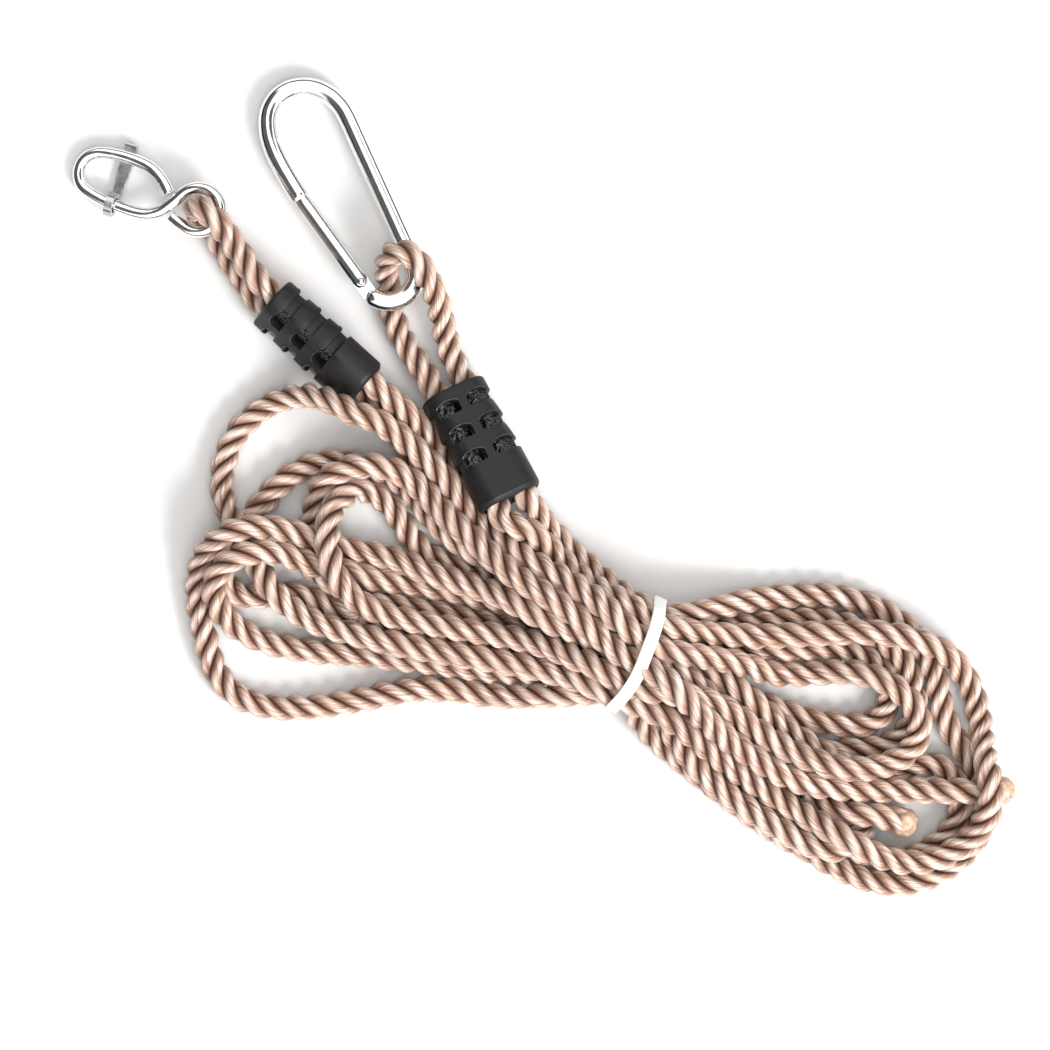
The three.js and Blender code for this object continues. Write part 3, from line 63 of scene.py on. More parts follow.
# ---------------------------------------------------------------- data, in mm
ROUTE = np.array([
    1745, -1146, 63, 1712, -1147, 103, 1666, -1149, 131, 1615, -1150, 142, 1565, -1150, 143, 1514, -1150, 136, 1465, -1149, 125, 1415, -1148, 117,
    1365, -1148, 114, 1315, -1148, 118, 1266, -1148, 129, 1218, -1147, 142, 1169, -1144, 156, 1119, -1140, 167, 1070, -1135, 176, 1022, -1128, 187,
    976, -1118, 198, 930, -1104, 211, 887, -1085, 222, 845, -1061, 230, 804, -1035, 235, 763, -1007, 241, 722, -979, 252, 683, -950, 269, 646, -920,
    292, 610, -889, 318, 577, -856, 347, 544, -821, 372, 510, -783, 388, 474, -746, 391, 434, -715, 382, 392, -689, 366, 350, -669, 347, 309, -647,
    338, 270, -621, 331, 235, -591, 326, 198, -559, 323, 161, -528, 322, 123, -497, 320, 84, -466, 316, 43, -437, 309, 1, -410, 300, -42, -384, 289,
    -85, -359, 277, -126, -330, 263, -165, -298, 248, -202, -265, 233, -238, -231, 218, -275, -198, 204, -313, -166, 192, -351, -133, 179, -386, -98,
    166, -419, -61, 154, -453, -25, 145, -489, 9, 141, -529, 37, 141, -574, 58, 143, -623, 70, 145, -673, 73, 145, -724, 68, 143, -772, 53, 136,
    -814, 28, 121, -843, -9, 98, -860, -53, 79, -873, -99, 63, -886, -145, 54, -898, -190, 50, -901, -237, 50, -890, -282, 50, -867, -320, 50, -832,
    -348, 50, -791, -368, 50, -750, -389, 50, -712, -427, 50, -669, -518, 50, -627, -544, 50, -578, -557, 50, -528, -562, 50, -478, -568, 50, -428,
    -575, 50, -379, -582, 50, -329, -590, 50, -280, -598, 50, -231, -606, 51, -181, -613, 55, -132, -619, 63, -83, -624, 74, -34, -630, 86, 14, -637,
    99, 62, -645, 112, 108, -654, 128, 153, -668, 148, 197, -683, 172, 242, -696, 195, 289, -710, 214, 337, -726, 226, 385, -744, 226, 431, -766,
    218, 473, -791, 204, 510, -821, 185, 544, -854, 166, 582, -886, 152, 625, -913, 144, 670, -937, 142, 714, -961, 142, 757, -987, 142, 800, -1013,
    141, 846, -1034, 138, 893, -1051, 133, 941, -1066, 124, 989, -1080, 110, 1035, -1097, 90, 1077, -1121, 70, 1115, -1152, 56, 1150, -1187, 50,
    1179, -1226, 53, 1194, -1268, 71, 1191, -1305, 103, 1166, -1337, 132, 1125, -1362, 140, 1078, -1370, 144, 1030, -1363, 144, 984, -1346, 142, 939,
    -1323, 142, 895, -1299, 141, 852, -1273, 142, 809, -1246, 142, 766, -1218, 143, 724, -1190, 143, 683, -1160, 143, 644, -1128, 142, 608, -1093,
    141, 573, -1056, 140, 541, -1017, 140, 511, -977, 141, 484, -935, 143, 460, -892, 143, 436, -848, 139, 415, -802, 135, 393, -756, 135, 364, -715,
    141, 327, -679, 145, 287, -646, 144, 246, -617, 141, 203, -591, 139, 158, -570, 137, 113, -547, 136, 68, -525, 134, 23, -503, 128, -22, -482,
    115, -66, -464, 93, -112, -450, 70, -161, -439, 55, -212, -430, 50, -262, -419, 50, -311, -407, 50, -360, -396, 50, -409, -387, 50, -458, -379,
    50, -507, -371, 50, -557, -364, 55, -605, -359, 69, -652, -352, 88, -697, -340, 107, -744, -328, 122, -793, -318, 131, -840, -307, 139, -887,
    -293, 146, -933, -278, 155, -977, -264, 168, -1020, -254, 184, -1064, -250, 199, -1110, -254, 207, -1154, -267, 200, -1192, -289, 184, -1221,
    -320, 166, -1239, -358, 147, -1244, -401, 129, -1234, -443, 110, -1214, -481, 89, -1186, -515, 71, -1150, -544, 58, -1108, -567, 52, -1063, -586,
    50, -1016, -601, 50, -968, -612, 50, -919, -620, 50, -869, -626, 50, -819, -631, 50, -769, -634, 50, -719, -638, 50, -669, -642, 50, -619, -647,
    50, -569, -652, 50, -519, -658, 50, -469, -663, 50, -420, -670, 50, -370, -677, 50, -320, -684, 50, -270, -691, 50, -220, -698, 50, -170, -704,
    50, -120, -708, 50, -69, -712, 50, -20, -714, 50, 29, -717, 50, 78, -718, 51, 126, -718, 56, 173, -717, 67, 220, -717, 81, 266, -721, 92, 308,
    -739, 87, 342, -775, 65, 379, -810, 52, 419, -844, 50, 461, -876, 50, 501, -908, 50, 540, -941, 50, 580, -972, 50, 619, -1004, 50, 658, -1035,
    50, 698, -1066, 50, 737, -1097, 50, 777, -1128, 50, 817, -1158, 50, 857, -1188, 50, 897, -1216, 50, 939, -1243, 50, 982, -1266, 50, 1025, -1287,
    50, 1068, -1311, 50, 1108, -1336, 50, 1148, -1362, 50, 1190, -1381, 50, 1232, -1394, 50, 1274, -1404, 50, 1316, -1409, 50, 1360, -1406, 50, 1402,
    -1395, 50, 1441, -1378, 50, 1478, -1355, 50, 1511, -1328, 50, 1539, -1295, 50, 1559, -1256, 50, 1566, -1214, 50, 1562, -1171, 50, 1550, -1128,
    50, 1527, -1090, 50, 1490, -1064, 50, 1446, -1052, 50, 1400, -1055, 50, 1356, -1065, 50, 1311, -1076, 51, 1265, -1083, 58, 1219, -1084, 72, 1175,
    -1076, 94, 1133, -1061, 118, 1092, -1037, 135, 1050, -1010, 141, 1006, -983, 139, 963, -956, 134, 920, -928, 131, 879, -898, 133, 840, -866, 138,
    801, -832, 143, 762, -798, 144, 721, -764, 140, 677, -735, 132, 631, -710, 127, 582, -697, 126, 533, -689, 132, 485, -680, 136, 442, -660, 138,
    403, -631, 142, 364, -599, 147, 324, -566, 150, 283, -536, 148, 242, -508, 143, 198, -483, 137, 154, -459, 133, 111, -433, 129, 69, -405, 127,
    30, -373, 127, -10, -341, 131, -53, -316, 136, -103, -301, 138, -155, -290, 139, -205, -276, 136, -252, -257, 127, -295, -233, 116, -336, -205,
    104, -374, -174, 89, -409, -140, 75, -442, -102, 62, -474, -62, 54, -507, -22, 50, -545, 14, 50, -589, 43, 50, -638, 64, 50, -689, 77, 50, -741,
    84, 50, -792, 88, 50, -842, 84, 50, -890, 71, 50, -935, 51, 50, -977, 23, 50, -1014, -9, 50, -1048, -46, 50, -1080, -85, 50, -1112, -125, 50,
    -1144, -165, 50, -1178, -206, 50, -1204, -246, 50, -1219, -291, 50, -1216, -339, 50, -1194, -380, 50, -1158, -409, 50, -1112, -421, 50, -1065,
    -418, 50, -1019, -411, 50, -973, -407, 50, -927, -412, 50, -884, -428, 50, -843, -451, 50, -800, -472, 50, -751, -483, 50, -656, -450, 50, -603,
    -448, 50, -558, -457, 50, -514, -466, 50, -470, -473, 50, -425, -480, 50, -379, -488, 50, -332, -497, 50, -285, -506, 50, -236, -515, 50, -187,
    -523, 50, -136, -531, 50, -85, -538, 50, -35, -545, 50, 16, -556, 50, 64, -572, 50, 111, -591, 50, 158, -610, 50, 206, -625, 50, 255, -636, 52,
    302, -646, 61, 346, -662, 62, 382, -685, 54, 412, -712, 50, 443, -741, 50, 487, -755, 50, 584, -748, 50, 635, -762, 50, 686, -777, 50, 733, -792,
    50, 780, -807, 50, 825, -825, 50, 870, -844, 50, 916, -861, 50, 963, -875, 50, 1010, -887, 50, 1058, -896, 50, 1107, -902, 50, 1155, -905, 50,
    1202, -902, 50, 1247, -886, 50, 1282, -854, 50, 1299, -811, 50, 1296, -764, 50, 1279, -722, 50, 1253, -687, 50, 1220, -659, 50, 1181, -638, 50,
    1137, -624, 50, 1089, -617, 50, 1039, -615, 50, 990, -616, 50, 940, -619, 50, 890, -622, 50, 841, -624, 50, 792, -626, 50, 743, -626, 52, 694,
    -624, 59, 647, -618, 74, 602, -609, 96, 558, -600, 124, 515, -591, 154, 471, -582, 183, 424, -572, 208, 375, -558, 224, 325, -543, 233, 277,
    -526, 238, 230, -506, 237, 185, -485, 232, 138, -464, 225, 90, -448, 218, 42, -434, 207, -7, -423, 192, -54, -410, 170, -99, -395, 145, -141,
    -377, 117, -182, -356, 89, -224, -336, 67, -269, -322, 55, -316, -311, 50, -363, -298, 50, -407, -280, 50, -447, -256, 50, -481, -226, 50, -508,
    -191, 50, -530, -154, 50, -553, -117, 50, -579, -83, 50, -612, -53, 50, -651, -30, 57, -690, -16, 73, -729, -21, 96, -759, -46, 123, -788, -75,
    147, -806, -114, 171, -814, -159, 193, -816, -207, 211, -811, -257, 222, -798, -306, 226, -779, -352, 218, -753, -391, 200, -720, -423, 179,
    -680, -450, 161, -637, -471, 146, -590, -488, 138, -542, -501, 135, -492, -512, 135, -443, -521, 135, -393, -530, 135, -344, -538, 136, -294,
    -546, 136, -245, -554, 137, -196, -561, 139, -147, -569, 145, -99, -577, 155, -52, -587, 170, -6, -600, 189, 38, -615, 211, 80, -633, 236, 123,
    -650, 261, 167, -667, 283, 209, -689, 301, 251, -714, 312, 297, -738, 316, 344, -757, 317, 393, -769, 315, 443, -775, 307, 492, -780, 295, 541,
    -788, 283, 588, -801, 270, 632, -818, 251, 674, -839, 232, 714, -864, 216, 754, -892, 206, 794, -921, 202, 835, -948, 202, 878, -973, 206, 922,
    -996, 212, 967, -1016, 220, 1014, -1034, 226, 1062, -1050, 228, 1112, -1060, 223, 1162, -1064, 209, 1210, -1063, 189, 1257, -1056, 168, 1303,
    -1041, 150, 1346, -1018, 138, 1381, -984, 134, 1403, -942, 135, 1407, -896, 141, 1394, -850, 145, 1368, -809, 146, 1332, -773, 146, 1291, -745,
    144, 1246, -724, 138, 1198, -711, 127, 1151, -704, 111, 1103, -703, 93, 1056, -705, 76, 1007, -709, 64, 958, -712, 61, 910, -714, 68, 862, -710,
    84, 817, -700, 106, 774, -685, 133, 732, -670, 162, 685, -659, 190, 638, -651, 217, 591, -643, 245, 544, -636, 274, 497, -628, 299, 449, -618,
    317, 404, -599, 329, 361, -574, 337, 320, -544, 344, 281, -511, 344, 245, -477, 335, 208, -444, 319, 169, -415, 300, 129, -388, 282, 87, -363,
    264, 44, -338, 250, 0, -314, 239, -45, -290, 228, -87, -262, 213, -125, -230, 189, -161, -199, 163, -202, -179, 139, -241, -147, 130, -272, -107,
    129, -303, -67, 130, -333, -26, 132, -363, 14, 134, -397, 52, 136, -433, 86, 138, -470, 119, 140, -508, 152, 143, -546, 183, 150, -585, 212, 160,
    -626, 237, 171, -671, 256, 182, -720, 269, 189, -763, 294, 183, -806, 315, 168, -848, 330, 143, -891, 338, 116, -935, 336, 91, -981, 326, 71,
    -1026, 309, 57, -1070, 285, 51, -1109, 254, 50, -1144, 218, 50, -1173, 176, 50, -1195, 131, 50, -1210, 84, 50, -1217, 35, 56, -1216, -14, 69,
    -1207, -60, 88, -1190, -105, 109, -1168, -148, 126, -1139, -195, 129, -1115, -237, 116, -1092, -282, 113, -1069, -325, 119, -1045, -366, 131,
    -1017, -405, 141, -984, -440, 140, -946, -470, 135, -905, -495, 128, -860, -516, 124, -813, -533, 122, -766, -547, 122, -718, -559, 126, -669,
    -571, 131, -621, -583, 136, -572, -593, 138, -524, -603, 137, -475, -612, 135, -426, -621, 134, -377, -629, 134, -328, -637, 134, -279, -644,
    134, -230, -651, 136, -181, -659, 139, -133, -667, 145, -85, -677, 153, -38, -687, 162, 8, -697, 172, 53, -708, 186, 97, -721, 203, 141, -736,
    222, 185, -754, 236, 231, -772, 244, 278, -792, 246, 323, -815, 246, 369, -834, 248, 414, -853, 248, 458, -875, 246, 500, -899, 239, 539, -927,
    229, 577, -957, 216, 614, -989, 202, 651, -1020, 186, 689, -1049, 170, 728, -1077, 156, 769, -1105, 146, 810, -1132, 142, 852, -1159, 141, 895,
    -1187, 145, 938, -1213, 154, 980, -1240, 169, 1022, -1265, 187, 1064, -1290, 206, 1108, -1314, 221, 1153, -1339, 226, 1197, -1365, 216, 1241,
    -1387, 199, 1286, -1404, 179, 1334, -1415, 162, 1383, -1418, 148, 1433, -1414, 140, 1481, -1401, 135, 1526, -1380, 135, 1568, -1353, 140, 1604,
    -1321, 153, 1633, -1285, 171, 1654, -1245, 193, 1667, -1202, 212, 1671, -1156, 222, 1667, -1108, 213, 1660, -1066, 188, 1653, -1026, 156, 1648,
    -985, 123, 1644, -942, 93, 1640, -898, 69, 1632, -851, 54, 1620, -804, 50, 1601, -758, 57, 1578, -715, 72, 1550, -677, 93, 1517, -643, 115, 1478,
    -616, 132, 1433, -594, 141, 1385, -578, 145, 1337, -567, 145, 1289, -559, 145, 1240, -554, 145, 1190, -552, 144, 1141, -552, 141, 1092, -554,
    136, 1043, -556, 132, 994, -560, 128, 945, -563, 127, 896, -566, 127, 846, -568, 128, 796, -569, 131, 747, -567, 139, 698, -565, 154, 650, -561,
    175, 604, -557, 201, 559, -551, 230, 514, -543, 258, 467, -532, 279, 420, -517, 288, 374, -494, 287, 332, -464, 279, 289, -437, 260, 246, -414,
    236, 203, -394, 211, 162, -370, 189, 123, -341, 173, 85, -308, 166, 48, -273, 168, 14, -236, 180, -22, -201, 201, -64, -171, 222, -113, -152,
    232, -155, -128, 230, -178, -85, 220, -201, -42, 210, -224, 1, 200, -248, 44, 190, -271, 87, 180, -294, 130, 170, -318, 173, 160, -341, 216, 150,
    -364, 260, 140, -388, 303, 130, -411, 346, 120, -434, 389, 110, -458, 431, 99, -486, 470, 83, -513, 509, 68, -538, 551, 58, -559, 596, 52, -574,
    644, 51, -583, 693, 49, -590, 740, 62, -596, 780, 91, -597, 813, 128, -590, 844, 167, -568, 868, 204, -528, 872, 232, -487, 847, 236, -458, 808,
    226, -436, 766, 209, -418, 727, 185, -405, 687, 158, -394, 646, 131, -384, 604, 106, -373, 559, 86, -359, 512, 78, -343, 465, 79, -321, 420, 86,
    -298, 377, 96, -275, 334, 106, -251, 291, 116, -228, 248, 126, -205, 205, 136, -181, 162, 146, -158, 119, 156, -135, 76, 166, -111, 33, 176, -88,
    -10, 186, -65, -53, 196, -39, -94, 175, -12, -130, 144, 17, -167, 115, 50, -204, 94, 86, -240, 82, 125, -273, 81, 164, -306, 89, 201, -339, 104,
    238, -370, 124, 276, -398, 147, 315, -426, 169, 357, -451, 187, 402, -474, 196, 449, -492, 194, 501, -490, 180, 551, -484, 162, 600, -475, 142,
    647, -463, 122, 694, -450, 104, 740, -439, 86, 787, -430, 70, 835, -424, 58, 885, -419, 52, 935, -416, 50, 985, -413, 50, 1035, -413, 50, 1086,
    -417, 50, 1136, -424, 50, 1185, -437, 50, 1233, -455, 50, 1280, -478, 50, 1324, -507, 50, 1366, -540, 50, 1403, -578, 50, 1432, -621, 50, 1455,
    -668, 50, 1472, -717, 50, 1483, -767, 50, 1492, -817, 50, 1504, -865, 50, 1523, -910, 50, 1547, -952, 50, 1574, -992, 50, 1603, -1031, 50, 1627,
    -1073, 50, 1642, -1120, 50, 1652, -1175, 50, 1659, -1224, 50, 1652, -1274, 50, 1633, -1320, 50, 1604, -1364, 50, 1568, -1403, 50, 1527, -1436,
    50, 1482, -1463, 50, 1434, -1484, 50, 1384, -1498, 50, 1333, -1503, 50, 1282, -1500, 50, 1231, -1491, 50, 1180, -1476, 50, 1132, -1456, 50, 1086,
    -1431, 50, 1042, -1405, 50, 999, -1379, 50, 954, -1355, 50, 910, -1331, 50, 865, -1305, 50, 822, -1276, 50, 781, -1246, 50, 740, -1215, 50, 700,
    -1184, 50, 660, -1153, 50, 620, -1122, 50, 580, -1091, 50, 540, -1059, 50, 500, -1027, 53, 461, -995, 60, 422, -961, 73, 387, -924, 90, 356,
    -884, 112, 331, -842, 136, 303, -801, 155, 260, -781, 157, 209, -779, 149, 157, -781, 137, 106, -784, 125, 55, -788, 113, 4, -793, 101, -47,
    -796, 89, -97, -798, 76, -147, -796, 64, -198, -792, 56, -247, -787, 51, -297, -780, 50, -346, -774, 50, -394, -770, 50, -443, -769, 50, -493,
    -772, 50, -542, -779, 50, -591, -787, 50, -640, -797, 50, -689, -807, 50, -738, -817, 50, -787, -826, 50, -836, -833, 50, -886, -838, 50, -936,
    -840, 50, -987, -839, 50, -1036, -834, 50, -1085, -824, 50, -1132, -808, 50, -1174, -784, 50, -1209, -751, 50, -1236, -711, 50, -1256, -666, 50,
    -1271, -619, 50, -1282, -571, 50, -1293, -522, 50, -1303, -473, 50, -1310, -422, 54, -1311, -371, 65, -1305, -323, 85, -1291, -278, 113, -1267,
    -238, 145, -1235, -206, 178, -1194, -182, 206, -1142, -165, 215, -1089, -158, 204, -1036, -158, 187, -984, -167, 170, -934, -180, 154, -885,
    -196, 140, -839, -213, 119, -795, -229, 97, -750, -242, 80, -702, -251, 71, -653, -258, 72, -604, -266, 83, -557, -280, 97, -511, -298, 111,
    -465, -318, 122, -417, -335, 129, -368, -351, 135, -320, -365, 143, -272, -379, 157, -225, -393, 176, -181, -409, 199, -138, -428, 223, -96,
    -450, 243, -53, -474, 253, -8, -498, 255, 38, -520, 251, 85, -539, 243, 131, -558, 235, 177, -580, 231, 223, -601, 232, 271, -619, 237, 320,
    -633, 243, 369, -646, 244, 417, -660, 239, 462, -681, 230, 507, -706, 222, 548, -736, 207, 584, -767, 185, 617, -798, 159, 652, -825, 133, 691,
    -851, 112, 732, -876, 95, 773, -900, 78, 814, -925, 64, 854, -953, 54, 895, -978, 50, 940, -997, 50, 986, -1007, 50, 1034, -1010, 50, 1084,
    -1007, 50, 1133, -1000, 50, 1183, -996, 50, 1232, -992, 50, 1279, -984, 50, 1322, -966, 50, 1357, -936, 50, 1381, -898, 50, 1394, -853, 50, 1395,
    -806, 50, 1388, -758, 50, 1375, -711, 50, 1353, -666, 50, 1324, -628, 50, 1289, -596, 50, 1249, -568, 50, 1207, -546, 50, 1161, -530, 50, 1114,
    -518, 50, 1065, -511, 50, 1016, -508, 50, 966, -508, 50, 917, -511, 50, 868, -515, 50, 818, -519, 50, 768, -524, 50, 718, -526, 50, 667, -526,
    50, 617, -524, 54, 566, -524, 65, 517, -525, 81, 468, -526, 99, 419, -522, 115, 374, -504, 113, 333, -478, 94, 289, -459, 75, 244, -441, 61, 198,
    -423, 53, 154, -402, 50, 112, -376, 50, 72, -346, 50, 34, -314, 50, -3, -280, 50, -40, -245, 50, -76, -210, 50, -113, -176, 50, -150, -143, 50,
    -187, -110, 50, -223, -75, 50, -256, -38, 50, -287, 1, 50, -317, 40, 50, -348, 80, 50, -378, 119, 50, -409, 157, 55, -440, 194, 65, -474, 228,
    80, -506, 260, 101, -541, 290, 122, -577, 319, 144, -613, 350, 163, -650, 383, 176, -687, 416, 176, -724, 450, 176, -761, 484, 176, -798, 517,
    176, -835, 551, 176, -872, 584, 176, -909, 618, 176, -946, 652, 176, -983, 685, 176, -1020, 719, 176, -1058, 752, 176, -1091, 790, 174, -1119,
    830, 172, -1147, 872, 173, -1174, 912, 186, -1201, 949, 205, -1229, 986, 225, -1264, 1020, 225, -1296, 1041, 195, -1311, 1045, 148, -1311, 1034,
    100, -1292, 1009, 62, -1260, 972, 50, -1235, 929, 50, -1209, 886, 51, -1183, 843, 54, -1156, 802, 60, -1129, 761, 67, -1100, 720, 72, -1068, 682,
    74, -1031, 648, 74, -994, 615, 74, -957, 581, 74, -920, 548, 74, -883, 514, 74, -845, 480, 74, -808, 447, 74, -771, 413, 74, -734, 380, 74, -697,
    346, 74, -660, 314, 67, -624, 281, 59, -591, 245, 53, -563, 204, 50, -534, 164, 50, -504, 124, 50, -473, 86, 50, -441, 47, 50, -411, 9, 50, -381,
    -31, 50, -350, -71, 50, -318, -111, 50, -283, -150, 50, -246, -186, 50, -208, -219, 50, -170, -252, 50, -133, -286, 50, -97, -321, 50, -62, -357,
    50, -24, -390, 50, 14, -423, 50, 53, -454, 50, 96, -480, 50, 141, -501, 50, 187, -518, 50, 233, -534, 51, 279, -549, 56, 324, -567, 67, 371,
    -582, 69, 418, -597, 58, 460, -620, 52, 497, -655, 50, 525, -700, 50, 539, -795, 50, 561, -837, 50, 594, -863, 50, 628, -889, 50, 662, -919, 50,
    697, -950, 50, 735, -980, 50, 774, -1010, 50, 813, -1040, 50, 853, -1070, 50, 892, -1100, 50, 932, -1131, 54, 971, -1161, 67, 1012, -1188, 86,
    1055, -1209, 108, 1101, -1225, 130, 1149, -1233, 150, 1201, -1236, 160, 1251, -1244, 147, 1298, -1254, 124, 1342, -1265, 96, 1387, -1275, 69,
], float).reshape(-1, 3) * 0.1
HINGE = {"1_-1": 4907.5, "1_1": 4827.5, "2_-1": 3391.5, "2_1": 3499.5}
ADJ = [{"mouth": [-103.0567, 68.805, 12.5], "along": [0.740728, -0.671805, 0.0], "wide": [0.335902, 0.370364, 0.866025], "face": [-0.5818, -0.641489, 0.5], "length": 47.454}, {"mouth": [-35.0116, 35.3464, 11.0], "along": [0.466428, -0.861705, 0.199773], "wide": [0.876316, 0.419381, -0.237045], "face": [0.120482, 0.285629, 0.950737], "length": 47.554}]
CARABINER = np.array([
    -9215, 10809, 836, -9257, 10877, 827, -9299, 10943, 818, -9341, 11009, 808, -9382, 11076, 799, -9424, 11143, 790, -9467, 11211, 780, -9510,
    11282, 771, -9554, 11354, 761, -9599, 11429, 750, -9646, 11506, 740, -9694, 11585, 729, -9743, 11666, 718, -9791, 11747, 707, -9839, 11829, 696,
    -9885, 11911, 684, -9930, 11993, 673, -9973, 12076, 662, -10017, 12159, 651, -10059, 12243, 640, -10101, 12327, 629, -10142, 12412, 618, -10180,
    12497, 607, -10216, 12583, 595, -10249, 12670, 584, -10281, 12757, 573, -10311, 12846, 562, -10339, 12935, 551, -10366, 13025, 540, -10389,
    13115, 529, -10409, 13205, 518, -10425, 13295, 508, -10437, 13384, 498, -10446, 13474, 487, -10451, 13566, 477, -10454, 13658, 467, -10453,
    13750, 457, -10447, 13840, 447, -10437, 13929, 438, -10421, 14016, 429, -10400, 14099, 421, -10372, 14180, 414, -10338, 14260, 406, -10298,
    14339, 400, -10254, 14416, 393, -10206, 14489, 387, -10154, 14558, 382, -10099, 14623, 378, -10043, 14681, 374, -9983, 14734, 371, -9919, 14783,
    369, -9851, 14827, 367, -9781, 14867, 366, -9707, 14902, 366, -9632, 14933, 366, -9556, 14960, 366, -9479, 14982, 367, -9399, 15000, 369, -9316,
    15013, 372, -9231, 15022, 375, -9144, 15027, 378, -9056, 15027, 382, -8970, 15023, 387, -8885, 15014, 392, -8802, 15001, 397, -8720, 14982, 403,
    -8638, 14958, 409, -8557, 14929, 416, -8476, 14895, 424, -8398, 14858, 431, -8322, 14819, 439, -8250, 14779, 447, -8182, 14738, 455, -8118,
    14695, 462, -8057, 14650, 470, -8000, 14603, 478, -7945, 14553, 486, -7894, 14502, 494, -7844, 14450, 502, -7796, 14397, 510, -7749, 14343, 518,
    -7707, 14292, 526, -7669, 14245, 533, -7635, 14198, 539, -7602, 14150, 546, -7569, 14096, 553, -7534, 14034, 562, -7494, 13961, 572, -7449,
    13873, 584, -7397, 13768, 597, -7340, 13648, 613, -7280, 13516, 630, -7218, 13377, 649, -7154, 13232, 667, -7089, 13086, 686, -7025, 12943, 705,
    -6964, 12805, 723, -6903, 12672, 740, -6842, 12538, 758, -6782, 12405, 775, -6721, 12271, 793, -6660, 12138, 810, -6600, 12005, 827, -6539,
    11871, 845, -6479, 11738, 862, -6418, 11604, 880, -6357, 11471, 897, -6297, 11337, 915, -6236, 11204, 932, -6176, 11070, 949, -6115, 10937, 967,
    -6054, 10803, 984, -5994, 10670, 1002, -5933, 10537, 1019, -5872, 10403, 1037, -5812, 10270, 1054, -5751, 10136, 1071, -5691, 10003, 1089, -5630,
    9869, 1106, -5569, 9736, 1124, -5509, 9602, 1141, -5446, 9466, 1159, -5380, 9325, 1177, -5312, 9183, 1196, -5246, 9041, 1215, -5182, 8903, 1233,
    -5122, 8771, 1250, -5069, 8647, 1266, -5024, 8535, 1280, -4987, 8433, 1293, -4956, 8339, 1305, -4931, 8252, 1316, -4911, 8172, 1325, -4895, 8098,
    1334, -4882, 8029, 1342, -4873, 7963, 1350, -4866, 7901, 1357, -4862, 7844, 1364, -4862, 7794, 1369, -4867, 7749, 1374, -4874, 7708, 1378, -4885,
    7670, 1381, -4897, 7633, 1385, -4910, 7596, 1388, -4924, 7557, 1392, -4940, 7517, 1396, -4957, 7477, 1399, -4977, 7437, 1403, -4998, 7398, 1406,
    -5021, 7360, 1409, -5045, 7324, 1412, -5070, 7288, 1415, -5097, 7254, 1417, -5126, 7222, 1419, -5156, 7190, 1421, -5187, 7159, 1423, -5220, 7130,
    1425, -5255, 7102, 1426, -5290, 7076, 1428, -5326, 7051, 1429, -5363, 7029, 1429, -5401, 7008, 1430, -5440, 6988, 1430, -5480, 6971, 1430, -5521,
    6954, 1430, -5563, 6940, 1430, -5605, 6927, 1429, -5648, 6917, 1428, -5690, 6908, 1427, -5733, 6901, 1426, -5776, 6896, 1425, -5820, 6893, 1423,
    -5864, 6892, 1421, -5909, 6893, 1419, -5952, 6895, 1416, -5996, 6900, 1414, -6039, 6906, 1411, -6081, 6914, 1408, -6124, 6925, 1405, -6166, 6937,
    1402, -6208, 6951, 1398, -6249, 6967, 1395, -6290, 6984, 1391, -6329, 7003, 1387, -6367, 7024, 1383, -6403, 7046, 1379, -6438, 7072, 1374, -6472,
    7099, 1370, -6505, 7128, 1365, -6537, 7158, 1360, -6570, 7188, 1356, -6602, 7218, 1351, -6635, 7246, 1346,
], float).reshape(-1, 3) * 0.01
